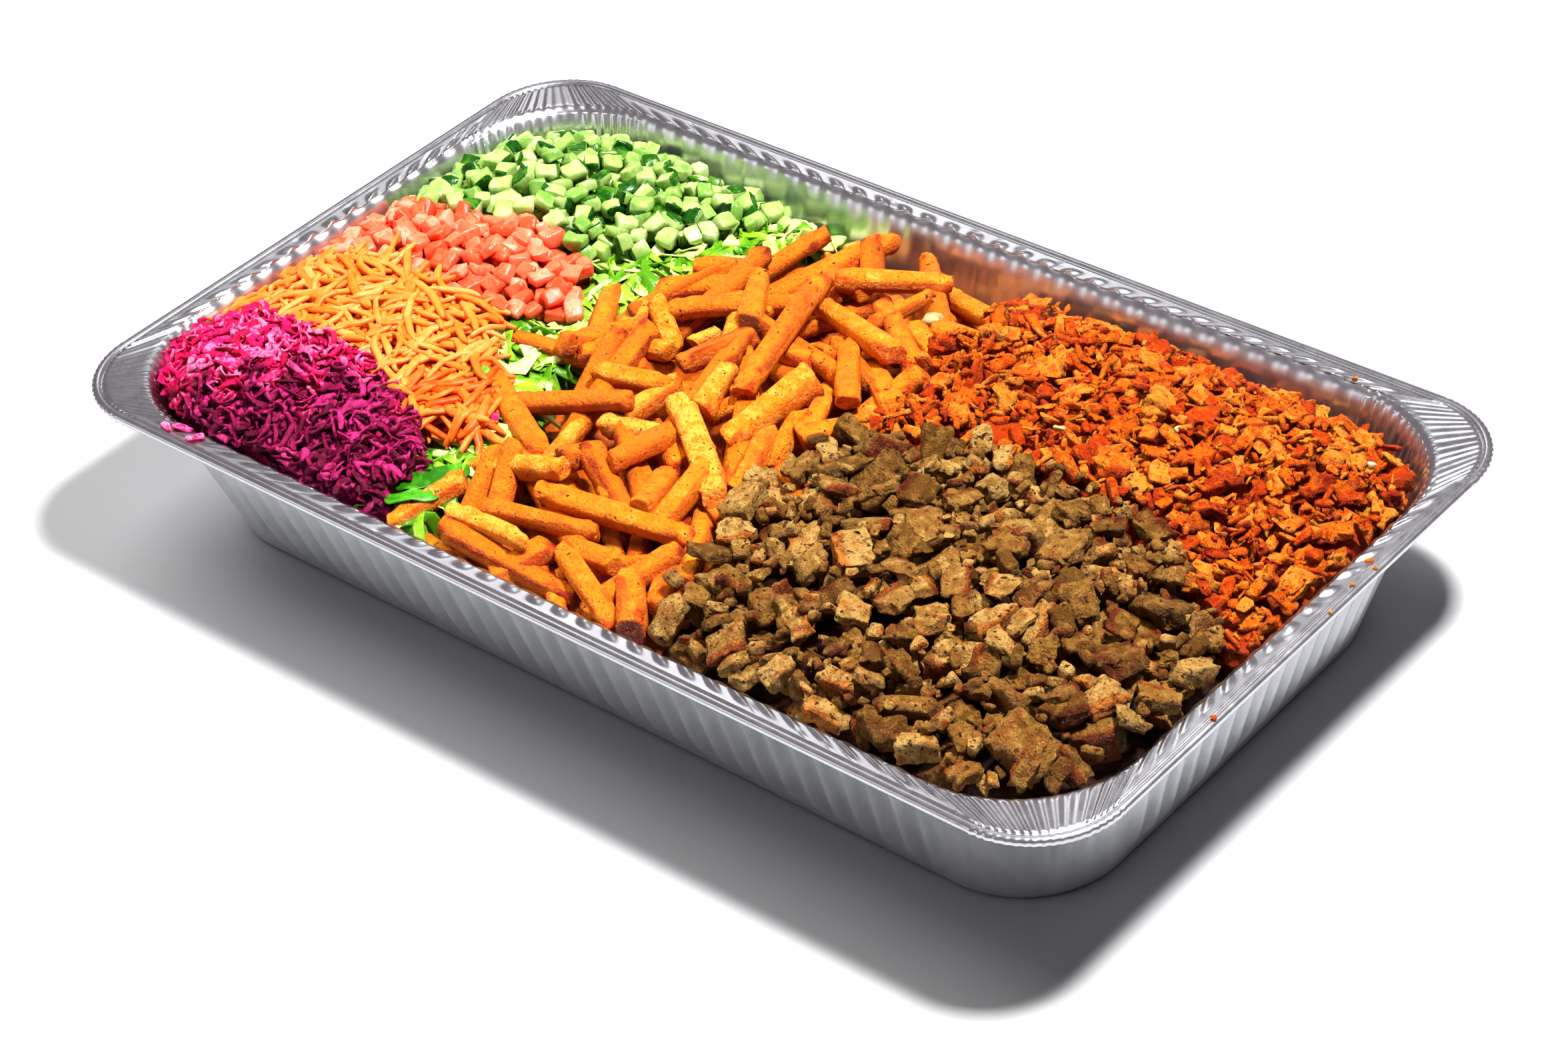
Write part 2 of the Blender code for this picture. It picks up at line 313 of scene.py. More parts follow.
def gridFaces(rows, columns):
    # the four-cornered faces of a grid of points that are counted row by row
    corner = (np.arange(rows - 1)[:, None] * columns + np.arange(columns - 1)).ravel()
    return np.stack([corner, corner + columns, corner + columns + 1, corner + 1], 1)


def boxShell(steps):
    # the six sides of a cube from -1 to 1, each a grid of two parameters, welded along their edges;
    # the grid's rows follow a sine, so that they stand closer together towards the edges
    places, quads = [], []
    first, second = np.meshgrid(np.arange(steps + 1), np.arange(steps + 1), indexing="ij")
    cells = gridFaces(steps + 1, steps + 1)
    for axis in range(3):
        for side in (0, steps):
            grid = np.zeros((first.size, 3), int)
            grid[:, axis] = side
            grid[:, (axis + 1) % 3] = first.ravel()
            grid[:, (axis + 2) % 3] = second.ravel()
            quads.append((cells if side else cells[:, ::-1]) + len(places) * first.size)
            places.append(grid)
    unique, back = np.unique(np.concatenate(places), axis=0, return_inverse=True)
    quads = back.ravel()[np.concatenate(quads)]
    return np.sin((unique / steps - 0.5) * math.pi), quads, np.zeros((0, 3), int)


def tubeShell(rings, sides, endPower, sidePower):
    # rings along x and an angle round it; both follow a superellipse, and a pole closes each end
    turn = (np.arange(rings) + 0.5) / rings * math.pi - math.pi / 2
    along = np.sign(turn) * np.abs(np.sin(turn)) ** (2 / endPower)
    wide = np.abs(np.cos(turn)) ** (2 / endPower)
    angle = np.arange(sides) / sides * 2 * math.pi
    across = np.sign(np.cos(angle)) * np.abs(np.cos(angle)) ** (2 / sidePower)
    upward = np.sign(np.sin(angle)) * np.abs(np.sin(angle)) ** (2 / sidePower)
    points = np.stack([np.repeat(along, sides), np.outer(wide, across).ravel(),
                       np.outer(wide, upward).ravel()], 1)
    points = np.concatenate([points, [[-1.0, 0, 0], [1.0, 0, 0]]])
    ring = np.arange(rings - 1)[:, None] * sides
    here, after = np.arange(sides), (np.arange(sides) + 1) % sides
    quads = np.stack([ring + here, ring + sides + here, ring + sides + after, ring + after], -1)
    quads = quads.reshape(-1, 4)
    last = (rings - 1) * sides
    startCap = np.stack([np.full(sides, rings * sides), here, after], 1)
    endCap = np.stack([np.full(sides, rings * sides + 1), last + after, last + here], 1)
    return points, quads[:, ::-1], np.concatenate([startCap, endCap])[:, ::-1]


def makePiece(name, points, quads, tris, material, nodeName, values=None):
    # the points and faces of one whole piece, put straight into a mesh
    points = np.array(points)
    points[:, 2] = np.clip(points[:, 2], 0.0, cadBox[1][2] - 0.0002)
    mesh = bpy.data.meshes.new(name)
    mesh.vertices.add(len(points))
    mesh.vertices.foreach_set("co", np.asarray(points, np.float32).ravel())
    corners = np.concatenate([np.asarray(quads).ravel(), np.asarray(tris).ravel()]).astype(np.int32)
    totals = np.concatenate([np.full(len(quads), 4), np.full(len(tris), 3)]).astype(np.int32)
    mesh.loops.add(len(corners))
    mesh.loops.foreach_set("vertex_index", corners)
    mesh.polygons.add(len(totals))
    mesh.polygons.foreach_set("loop_start", np.concatenate([[0], np.cumsum(totals)[:-1]]).astype(np.int32))
    mesh.polygons.foreach_set("loop_total", totals)
    mesh.update(calc_edges=True)
    mesh.validate()
    mesh.shade_smooth()
    for label, numbers in (values or {}).items():
        layer = mesh.attributes.new(label, "FLOAT", "POINT")
        layer.data.foreach_set("value", np.asarray(numbers, np.float32).ravel())
    mesh.materials.append(material)
    piece = bpy.data.objects.new(name, mesh)
    bpy.context.scene.collection.objects.link(piece)
    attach(piece, "root")
    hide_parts(nodeName)
    print("made", name, "with", len(quads) * 2 + len(tris), "triangles")
    return piece


def joinShells(shell, bodies, turns, centres):
    # every copy of a shell, shaped, turned and moved as whole arrays; faces count on from copy to copy
    points, quads, tris = shell
    placed = np.einsum("nij,nvj->nvi", turns, bodies) + centres[:, None, :]
    step = (np.arange(len(bodies)) * len(points))[:, None, None]
    return placed.reshape(-1, 3), (quads + step).reshape(-1, 4), (tris + step).reshape(-1, 3)


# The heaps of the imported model, read as one map of heights and one of kinds

mapStep = 0.00125
heapNames = ["lettuce_bed", "cucumber_heap", "tomato_heap", "carrot_heap", "cabbage_heap", "fries_heap",
             "chicken_heap", "meat_heap"]
neighbours = ((1, 0), (-1, 0), (0, 1), (0, -1))


def readHeaps():
    # a line straight down through each cell of a grid meets the top of one heap, or none
    corners, faces, owners = [], [], []
    count = 0
    for index, name in enumerate(heapNames):
        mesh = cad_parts[name].data
        corners += [v.co.copy() for v in mesh.vertices]
        faces += [[count + i for i in polygon.vertices] for polygon in mesh.polygons]
        owners += [index] * len(mesh.polygons)
        count += len(mesh.vertices)
    tree = BVHTree.FromPolygons(corners, faces)
    low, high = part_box("tray")
    xs = np.arange(low.x, high.x + mapStep, mapStep)
    ys = np.arange(low.y, high.y + mapStep, mapStep)
    heights = np.zeros((len(xs), len(ys)))
    kinds = np.full((len(xs), len(ys)), -1)
    down = Vector((0, 0, -1))
    for i, x in enumerate(xs):
        for j, y in enumerate(ys):
            place, _, face, _ = tree.ray_cast(Vector((x, y, 0.2)), down)
            if place is not None:
                heights[i, j] = place.z
                kinds[i, j] = owners[face]
    return xs, ys, heights, kinds


mapX, mapY, heapTop, heapKind = readHeaps()


def fillSeams():
    # cells in the narrow gaps between heaps take their neighbour's height and kind
    for shift in neighbours:
        near = np.roll(heapKind, shift, (0, 1))
        empty = (heapKind < 0) & (near >= 0)
        heapTop[empty] = np.roll(heapTop, shift, (0, 1))[empty]
        heapKind[empty] = near[empty]


fillSeams()
print("read the heaps on a grid of", heapTop.shape)


def lookUp(table, x, y):
    # the value of the four cells round a place, weighted by nearness
    u = np.clip((np.asarray(x) - mapX[0]) / mapStep, 0, len(mapX) - 1.001)
    v = np.clip((np.asarray(y) - mapY[0]) / mapStep, 0, len(mapY) - 1.001)
    i, j = u.astype(int), v.astype(int)
    s, t = u - i, v - j
    return (table[i, j] * (1 - s) * (1 - t) + table[i + 1, j] * s * (1 - t) + table[i, j + 1] * (1 - s) * t
            + table[i + 1, j + 1] * s * t)


# The tray

trayLow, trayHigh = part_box("tray")
trayShape = {
    "rimLength": trayHigh.x - trayLow.x,
    "rimWidth": trayHigh.y - trayLow.y,
    "rimCorner": 0.040,
    "height": trayHigh.z,
    "lipWidth": 0.013,
    "mouthCorner": 0.056,
    "baseLength": 0.458,
    "baseWidth": 0.240,
    "baseCorner": 0.044,
    "baseEdge": 0.003,
    "sheet": 0.0006,
    "longFlutes": 32,
    "shortFlutes": 15,
    "fluteDepth": 0.0006,
    "wallFluteDepth": 0.0021,
    "insideFluteDepth": 0.0003,
    "fluteStart": 0.010,
    "mouthRadius": 0.0026,
    "bumpHeight": 0.0013,
    "bumpPart": 0.34,
    "bead": 0.0045,
    "grooveDepth": 0.0008,
    "pleatPitch": 0.0031,
    "pleatDepth": 0.00032,
    "wallPleats": 1.2,             # how strongly the corner pleats run on down the outer and the inner wall
    "insidePleats": 1.6,
    "swell": 0.85,                 # how far out the outer flutes stand, as a part of their depth
    "waver": 0.0004,
    "creaseDepth": 0.0007,
    "mouthDip": 0.0004,
    "beadPleat": 0.00012,
    "beadFlat": 0.0004,
    "cornerStep": 0.00055,
    "sideStep": 0.0013,
}


def trayPath():
    # columns round a rectangle with round corners: where each lies between the corners, its outward
    # normal, the phase of its flute, and how much it belongs to a corner
    t = trayShape
    middle, normal, flute, corner = [], [], [], []
    signs = np.array([(1, 1), (-1, 1), (-1, -1), (1, -1)], float)
    arc = t["mouthCorner"] * math.pi / 2
    for index in range(4):
        part = np.arange(int(arc / t["cornerStep"])) / int(arc / t["cornerStep"])
        angle = (index + part) * math.pi / 2
        middle.append(np.repeat(signs[index:index + 1], len(part), 0))
        normal.append(np.stack([np.cos(angle), np.sin(angle)], 1))
        flute.append(np.zeros(len(part)))
        corner.append(np.ones(len(part)))
        count = t["longFlutes"] if index % 2 == 0 else t["shortFlutes"]
        rim = t["rimLength"] if index % 2 == 0 else t["rimWidth"]
        length = rim - 2 * (t["lipWidth"] + t["mouthCorner"])
        steps = int(length / t["sideStep"])
        part = (np.arange(steps) / steps)[:, None]
        after = signs[(index + 1) % 4]
        middle.append(signs[index] * (1 - part) + after * part)
        end = (index + 1) * math.pi / 2
        normal.append(np.repeat([[math.cos(end), math.sin(end)]], steps, 0))
        away = np.minimum(part, 1 - part)[:, 0] * length
        wave = np.cos((part[:, 0] * count + 0.5) * 2 * math.pi)
        flute.append(wave * smoothStep(away, 0.0, 0.006))
        corner.append(1 - smoothStep(away, 0.0, 0.010))
    return tuple(np.concatenate(rows) for rows in (middle, normal, flute, corner))


def trayRing(path, length, width, corner):
    middle, normal = path[0], path[1]
    return np.stack([middle[:, 0] * (length / 2 - corner) + normal[:, 0] * corner,
                     middle[:, 1] * (width / 2 - corner) + normal[:, 1] * corner], 1)


def wallSize(z):
    # the length, the width and the corner radius of the tray's wall at a height
    t = trayShape
    part = np.minimum((z - t["baseEdge"]) / (t["height"] - t["baseEdge"]), 1.0)
    length = t["baseLength"] + (t["rimLength"] - 2 * t["lipWidth"] - t["baseLength"]) * part
    width = t["baseWidth"] + (t["rimWidth"] - 2 * t["lipWidth"] - t["baseWidth"]) * part
    return length, width, t["baseCorner"] + (t["mouthCorner"] - t["baseCorner"]) * part


def wallRing(path, z, inset):
    length, width, corner = wallSize(z)
    return trayRing(path, length - 2 * inset, width - 2 * inset, corner - inset)


def rimRing(path, inset):
    t = trayShape
    return trayRing(path, t["rimLength"] - 2 * inset, t["rimWidth"] - 2 * inset, t["rimCorner"] - inset)


def makeTray():
    # a profile carried round the tray: base, wall, under the lip, rolled bead, lip, a rounded edge at the
    # mouth, and the inner skin back down; flutes on the straights and pleats at the corners move it
    t = trayShape
    path = trayPath()
    normal, flute, corner = path[1:]
    ridge = flute * (1 - corner)
    mouth = wallRing(path, t["height"], 0.0)
    outer = rimRing(path, t["bead"])
    travel = np.cumsum(np.linalg.norm(np.roll(outer, -1, 0) - outer, axis=1))
    ring3 = np.concatenate([outer, np.zeros((len(outer), 1))], 1)
    drift = waveNoise(ring3, 0.016, 31) * 0.9 + waveNoise(ring3, 0.005, 32) * 0.5
    pleat = np.sin(travel / t["pleatPitch"] * 2 * math.pi + drift)
    pleat = pleat * corner * (0.8 + 0.3 * waveNoise(ring3, 0.007, 33))
    waver = waveNoise(ring3, 0.09, 34)
    crease = np.clip(waveNoise(ring3, 0.009, 35) - 0.6, 0, 1) * (1 - corner)
    bumps = np.clip((flute + 0.25) / 1.25, 0, 1) ** 1.3 * (1 - corner)
    lipTop = t["height"] - t["grooveDepth"]
    radius = t["mouthRadius"]
    rows = []

    def addRing(ring, z, out=0.0, lift=0.0):
        place = ring + normal * np.asarray(out).reshape(-1, 1)
        rows.append(np.column_stack([place, np.full(len(ring), z) + lift]))

    def wallRow(z, inset, folds, depth, swell=0.0):
        # swell moves the outer flutes outwards, so that they stay clear of the shallower inner ones
        grow = smoothStep(z, t["fluteStart"] - 0.005, t["fluteStart"] + 0.008)
        out = depth * (ridge + swell * (1 - corner)) * grow
        out = out + t["pleatDepth"] * pleat * folds + waver * t["waver"] * grow
        addRing(wallRing(path, z, inset), z, out)

    def lipRow(part, under=0.0):
        # part runs from the wall's line at the mouth (0) to the bead (1)
        ring = mouth * (1 - part) + outer * part
        fold = pleat * t["pleatDepth"] * (1.0 - 0.4 * part)
        emboss = t["bumpHeight"] * bumps * math.exp(-((part - t["bumpPart"]) / 0.24) ** 4)
        dip = -t["creaseDepth"] * crease * math.exp(-((part - 0.6) / 0.2) ** 2)
        addRing(ring, lipTop - under, ridge * t["fluteDepth"] * max(0, 1 - 2.5 * part),
                fold + emboss + dip - t["mouthDip"] * (1 - part))

    def baseRows(lift, angles):
        for angle in np.radians(angles):
            out = t["baseEdge"] * (1 - math.sin(angle)) + lift
            length, width = t["baseLength"] - 2 * out, t["baseWidth"] - 2 * out
            ring = trayRing(path, length, width, t["baseCorner"] - out)
            addRing(ring, t["baseEdge"] * (1 - math.cos(angle)) + lift)

    baseRows(0.0, (0, 30, 60, 90))
    for z in np.linspace(t["baseEdge"] + 0.003, lipTop - radius, 9):
        wallRow(z, 0.0, t["wallPleats"] * smoothStep(z, 0.0, 0.07), t["wallFluteDepth"], t["swell"])
    for part in (0.25, 0.9):
        lipRow(part, t["sheet"] + t["mouthDip"])
    outside = len(rows)
    half = t["bead"] / 2
    for angle in np.radians(np.arange(-150, 181, 33)):         # the rolled bead, from under it to its top
        out = half * (1 + math.cos(angle))
        flat = t["beadFlat"] * math.exp(-((math.degrees(angle) - 78) / 20) ** 2)
        addRing(rimRing(path, 2 * half - out), t["height"] - half + half * math.sin(angle) - flat,
                (pleat - 1) * t["beadPleat"] * (1 + math.cos(angle)))
    for part in (0.97, 0.88, 0.76, 0.68, 0.60, 0.50, 0.40, 0.30, 0.22, 0.14):
        lipRow(part)
    for angle in np.radians((15, 32, 50, 68)):                 # the rounded edge at the mouth
        z = lipTop - t["mouthDip"] - radius * (1 - math.cos(angle))
        fold = pleat * t["pleatDepth"]
        out = radius * (1 - math.sin(angle)) + ridge * t["fluteDepth"] + fold * 0.6
        addRing(wallRing(path, z, 0.0), z, out, fold)
    inside = len(rows)
    for z in np.linspace(lipTop - radius - 0.001, t["baseEdge"] + 0.003, 12):
        wallRow(z, t["sheet"], t["insidePleats"] * smoothStep(z, 0.03, 0.072), t["insideFluteDepth"])
    baseRows(t["sheet"], (90, 60, 30, 0))
    count, columns = len(rows), len(mouth)
    points = np.concatenate(rows + [[[0, 0, 0]], [[0, 0, t["sheet"]]]])
    here, after = np.arange(columns), (np.arange(columns) + 1) % columns
    level = np.arange(count - 1)[:, None] * columns
    quads = np.stack([level + here, level + after, level + columns + after, level + columns + here], -1)
    under = np.stack([np.full(columns, count * columns), after, here], 1)
    bottom = np.stack([np.full(columns, count * columns + 1), (count - 1) * columns + here,
                       (count - 1) * columns + after], 1)
    points[:, 2] = np.clip(points[:, 2], 0.0, t["height"])
    matte = np.repeat([1.0, 0.0, 0.25], (outside, inside - outside, count - inside))
    matte = np.concatenate([np.repeat(matte, columns), [1.0, 0.25]])
    return makePiece("foilTray", points, quads.reshape(-1, 4), np.concatenate([under, bottom]),
                     foilMaterial(), "tray", {"matte": matte})


def foilMaterial():
    # rolled aluminium sheet: faint streaks in its roughness, small crinkles, and a matter outer side
    material, tree, shader = newMaterial("rolledFoil")
    place = objectPlace(tree)
    stretched = put(tree, "ShaderNodeMapping", {"Vector": place, "Scale": (1.0, 1.0, 0.18)}).outputs[0]
    streak = noise(tree, stretched, 160.0, 2.0)
    crinkle = noise(tree, place, 55.0, 3.0, 0.5)
    colour = blend(tree, streak, linearColour("#CED1D5"), linearColour("#E6E7EA"))
    mixed = sums(tree, "MULTIPLY", sums(tree, "ADD", streak, crinkle), 0.5)
    roughness = fade(tree, mixed, 0.3, 0.7, 0.25, 0.32)
    matte = attribute(tree, "matte")
    roughness = sums(tree, "ADD", roughness, sums(tree, "MULTIPLY", matte, 0.14))
    tree.links.new(fade(tree, matte, 0.0, 1.0, 1.0, 0.72), shader.inputs["Metallic"])
    finishMaterial(tree, shader, colour, roughness, crinkle, 0.02, 0.0012)
    return material


def wallRoom(x, y, z):
    # how far a place is inside the tray's wall at its height: the distance inside a round-cornered box
    length, width, corner = wallSize(z)
    overX = np.abs(x) - length / 2 + corner
    overY = np.abs(y) - width / 2 + corner
    outside = np.hypot(np.maximum(overX, 0), np.maximum(overY, 0)) + np.minimum(np.maximum(overX, overY), 0)
    return corner - outside


# Cores: the inside of each heap, which the loose pieces lie on. Their colours are painted shade: on most
# heaps they are darker than the pieces, so the gaps between the pieces read as shadow. Depth is how far it
# stays below the heap's top, relief is the height of its small waves, and the rows of its grid cross the heap
# along spanAlong.

heapFacts = ("slot", "depth", "spanAlong", "relief", "reliefSize", "colours")
heaps = {
    "lettuce_bed": ("lettuce", 0.008, "x", 0.001, 0.008, ("#2A5A10", "#5E8E20", "#8EBE3A")),
    "cucumber_heap": ("cucumber", 0.014, "x", 0.0012, 0.012, ("#1E4A10", "#4E8A22", "#9ABE52")),
    "tomato_heap": ("tomato", 0.013, "x", 0.0012, 0.012, ("#F0502A", "#FA7846", "#FDA078")),
    "carrot_heap": ("carrot", 0.007, "x", 0.001, 0.006, ("#C23A10", "#E8641E", "#F98A38")),
    "cabbage_heap": ("cabbage", 0.007, "x", 0.001, 0.006, ("#3A0118", "#6A0230", "#98064A")),
    "fries_heap": ("fries", 0.024, "x", 0.0016, 0.014, ("#7A2C06", "#B0540E", "#D0781E")),
    "chicken_heap": ("chicken", 0.01, "y", 0.0016, 0.007, ("#5A0E04", "#92260A", "#B84A12")),
    "meat_heap": ("meat", 0.015, "y", 0.0016, 0.01, ("#140602", "#2E1206", "#50280F")),
}
heaps = {name: dict(zip(heapFacts, facts)) for name, facts in heaps.items()}
# bottomX and bottomY shrink the top's outline to the tray's narrower floor
coreGrid = {"along": 60, "across": 60, "bottomX": 0.895, "bottomY": 0.815, "wallGap": 0.003}
coreLook = {"size": 130.0, "spread": 0.0, "roughness": 0.5, "bump": 0.6, "shine": 0.2}


def makeCore(name):
    # the top is a grid of two parameters: rows along the heap, and a part of each row's own span
    index = heapNames.index(name)
    heap = heaps[name]
    table = (heapKind == index) & (cellRoom > coreGrid["wallGap"])
    table = table if heap["spanAlong"] == "x" else table.T
    spanAxis, rowAxis = (mapX, mapY) if heap["spanAlong"] == "x" else (mapY, mapX)
    filled = np.nonzero(table.any(0))[0][1:-1]
    starts = spanAxis[table.argmax(0)[filled]] + coreGrid["wallGap"] / 2
    ends = spanAxis[len(spanAxis) - 1 - table[::-1].argmax(0)[filled]] - coreGrid["wallGap"] / 2
    rows = np.linspace(rowAxis[filled[0]] + 0.001, rowAxis[filled[-1]] - 0.001, coreGrid["along"])
    start = np.interp(rows, rowAxis[filled], starts)
    end = np.maximum(np.interp(rows, rowAxis[filled], ends), start + 0.001)
    part = np.linspace(0, 1, coreGrid["across"])
    span = start[:, None] + (end - start)[:, None] * part
    row = np.repeat(rows[:, None], len(part), 1)
    x, y = (span, row) if heap["spanAlong"] == "x" else (row, span)
    z = lookUp(smoothTop, x, y) - heap["depth"]
    relief = np.stack([x, y, z], -1)
    z = z + heap["relief"] * (waveNoise(relief, heap["reliefSize"], 50 + index) - 0.6)
    top = np.stack([x, y, z], -1)
    floor = top * (coreGrid["bottomX"], coreGrid["bottomY"], 0) + (0, 0, 0.0012)
    points = np.concatenate([top.reshape(-1, 3), floor.reshape(-1, 3)])
    r, c = top.shape[:2]
    faces = gridFaces(r, c)
    border = np.concatenate([np.arange(c), np.arange(1, r) * c + c - 1,
                             (r - 1) * c + np.arange(c - 2, -1, -1), np.arange(r - 2, 0, -1) * c])
    on = np.roll(border, -1)
    sides = np.stack([border, on, on + r * c, border + r * c], 1)
    quads = np.concatenate([faces, faces[:, ::-1] + r * c, sides])
    if heap["spanAlong"] == "x":
        quads = quads[:, ::-1]
    # the core's colours are painted shade for the gaps between the loose pieces
    material = foodMaterial(heap["slot"] + "Inside", dict(coreLook, flesh=heap["colours"]))
    makePiece(heap["slot"] + "Core", points, quads, np.zeros((0, 3), int), material, name,
              {"tint": np.full(len(points), 0.5)})


def smoothMap(table, times):
    # each pass is the mean of a cell and its four neighbours
    for _ in range(times):
        table = sum((np.roll(table, shift, (0, 1)) for shift in neighbours), table) / 5
    return table


def spreadTop():
    # heights carried out over the empty cells, so that smoothing doesn't pull the edges down
    table = heapTop.copy()
    known = heapKind >= 0
    for _ in range(24):
        for shift in neighbours:
            near = np.roll(known, shift, (0, 1))
            new = ~known & near
            table[new] = np.roll(table, shift, (0, 1))[new]
            known = known | new
    return table


endRise = 0.007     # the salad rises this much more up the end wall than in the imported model
smoothTop = smoothMap(spreadTop(), 12) + endRise * smoothStep(-mapX, 0.13, 0.23)[:, None]

# The level that loose pieces lie on, raised by each piece as it is laid
level = smoothTop - np.choose(np.maximum(heapKind, 0), [heaps[n]["depth"] for n in heapNames])
level[heapKind < 0] = 0.0
cellRoom = wallRoom(mapX[:, None], mapY[None, :], level)


def balance(places, heights, steepest):
    # the straight line that rests on heights on both sides of the middle, as a rod would
    left, right = places <= 0, places >= 0
    a, b = places[left], places[right]
    gap = np.maximum(b[None, :] - a[:, None], 1e-6)
    across = (heights[left][:, None] * b[None, :] - heights[right][None, :] * a[:, None]) / gap
    across[gap < 1e-5] = heights[left].max()
    best = np.unravel_index(across.argmax(), across.shape)
    slope = (heights[right][best[1]] - heights[left][best[0]]) / gap[best]
    slope = float(np.clip(slope, -steepest, steepest))
    return float((heights - slope * places).max()), slope


def layPiece(x, y, yaw, length, width, thick, steepest=0.7, sink=0.0006, steepestRoll=0.5):
    # rests a slab on the level, first along its length and then across it; returns its centre and slopes
    along = np.linspace(-0.46, 0.46, max(5, int(length / 0.004) | 1)) * length
    across = np.linspace(-0.42, 0.42, max(3, int(width / 0.004) | 1)) * width
    s, t = np.meshgrid(along, across, indexing="ij")
    cos, sin = math.cos(yaw), math.sin(yaw)
    under = lookUp(level, x + s * cos - t * sin, y + s * sin + t * cos)
    _, slope = balance(along, under.max(1), steepest)
    flat = under - slope * s
    base, roll = balance(across, flat.max(0), steepestRoll)
    return np.array([x, y, base + thick / 2 - sink]), slope, roll


def settle(x, y, yaw, length, width, thick, steepest=0.7, sink=0.0006, steepestRoll=0.5):
    # lays a piece, and where an end would go through the wall pushes it inwards and lays it again
    ends = np.array([[-0.5, -0.5], [0.5, -0.5], [-0.5, 0.5], [0.5, 0.5], [0.5, 0], [-0.5, 0]])
    ends = ends * (length, width)
    for _ in range(5):
        centre, slope, tilt = layPiece(x, y, yaw, length, width, thick, steepest, sink, steepestRoll)
        endX = x + ends[:, 0] * math.cos(yaw) - ends[:, 1] * math.sin(yaw)
        endY = y + ends[:, 0] * math.sin(yaw) + ends[:, 1] * math.cos(yaw)
        low = np.maximum(centre[2] + ends[:, 0] * slope - thick * 0.4, 0.004)
        room = wallRoom(endX, endY, low)
        worst = room.argmin()
        if room[worst] >= 0.0012:
            return centre, slope, tilt
        across = [wallRoom(endX[worst] + dx, endY[worst] + dy, low[worst]) - room[worst]
                  for dx, dy in ((0.001, 0), (0, 0.001))]
        size = max(math.hypot(*across), 1e-6)
        x += across[0] / size * (0.0022 - room[worst])
        y += across[1] / size * (0.0022 - room[worst])
    return None


def raiseLevel(centre, yaw, slope, roll, length, width, thick, rounding=0.25):
    # the piece's own top, as a slab with rounded edges, becomes the new level where it is higher
    cos, sin = math.cos(yaw), math.sin(yaw)
    reach = (length + width) / 2 + mapStep
    i0, i1 = np.searchsorted(mapX, [centre[0] - reach, centre[0] + reach])
    j0, j1 = np.searchsorted(mapY, [centre[1] - reach, centre[1] + reach])
    dx = mapX[i0:i1, None] - centre[0]
    dy = mapY[None, j0:j1] - centre[1]
    s = dx * cos + dy * sin
    t = dy * cos - dx * sin
    edge = np.maximum(np.abs(s) / (length / 2), np.abs(t) / (width / 2))
    top = centre[2] + s * slope + t * roll + thick / 2 * (1 - rounding * np.clip(edge, 0, 1) ** 4)
    part = level[i0:i1, j0:j1]
    inside = edge < 1
    part[inside] = np.maximum(part[inside], top[inside])


def turnMatrix(yaw, slope, roll):
    forward = np.array([math.cos(yaw), math.sin(yaw), slope])
    side = np.array([-math.sin(yaw), math.cos(yaw), roll])
    forward /= np.linalg.norm(forward)
    up = np.cross(forward, side)
    up /= np.linalg.norm(up)
    return np.stack([forward, np.cross(up, forward), up], 1)


def findPlace(rng, index, want, tries):
    # of a few random cells of this heap, the one where the level is furthest below the heap's top
    cells = cellLists[index][rng.integers(0, len(cellLists[index]), tries)]
    short = smoothTop[cells[:, 0], cells[:, 1]] - level[cells[:, 0], cells[:, 1]]
    best = cells[(short - want).argmax()]
    return mapX[best[0]], mapY[best[1]], best


def heapCells(index):
    # the cells that a heap's pieces are laid on; their border is blurred and wavers, and the tomato's back
    # left corner goes to the cucumber
    plan = np.stack(np.meshgrid(mapX, mapY, indexing="ij"), -1)
    waver = np.clip(waveNoise(plan, 0.018, 90 + index), -1, 1)
    share = smoothMap((heapKind == index).astype(float), 10) + 0.36 * waver
    corner = smoothStep(plan[..., 1], 0.025, 0.045) * smoothStep(-plan[..., 0], 0.175, 0.20)
    share = share + corner * {"tomato_heap": -1.0, "cucumber_heap": 1.0}.get(heapNames[index], 0.0)
    return np.argwhere((share > 0.5) & (heapKind >= 0) & (cellRoom > 0.0035))


cellLists = [heapCells(index) for index in range(len(heapNames))]


def scatter(name, count, size, seed, over=0.003, tries=14, steepest=0.7, roll=0.5, pack=1.0):
    # lays pieces one by one where the heap is lowest, and leaves out those that would stand too high;
    # soft ones are packed closer than their size
    rng = np.random.default_rng(seed)
    index = heapNames.index(name)
    laid = []
    for _ in range(count * 5):
        if len(laid) == count:
            break
        length, width, thick = size(rng)
        x, y, cell = findPlace(rng, index, thick, tries)
        yaw = rng.uniform(0, 2 * math.pi)
        rest = settle(x, y, yaw, length * pack, width * pack, thick * pack, steepest, steepestRoll=roll)
        if rest is None or rest[0][2] + thick / 2 > lookUp(smoothTop, *rest[0][:2]) + over:
            level[cell[0] - 1:cell[0] + 2, cell[1] - 1:cell[1] + 2] += 0.0012     # nothing this big fits here
            continue
        centre, slope, tilt = rest
        raiseLevel(centre, yaw, slope, tilt, length * pack, width * pack, thick * pack)
        laid.append((centre, yaw, slope, tilt, length, width, thick))
    print("laid", len(laid), "pieces on", name)
    return laid


def laidArrays(laid):
    centres = np.array([piece[0] for piece in laid])
    turns = np.array([turnMatrix(*piece[1:4]) for piece in laid])
    sizes = np.array([piece[4:7] for piece in laid])
    return centres, turns, sizes


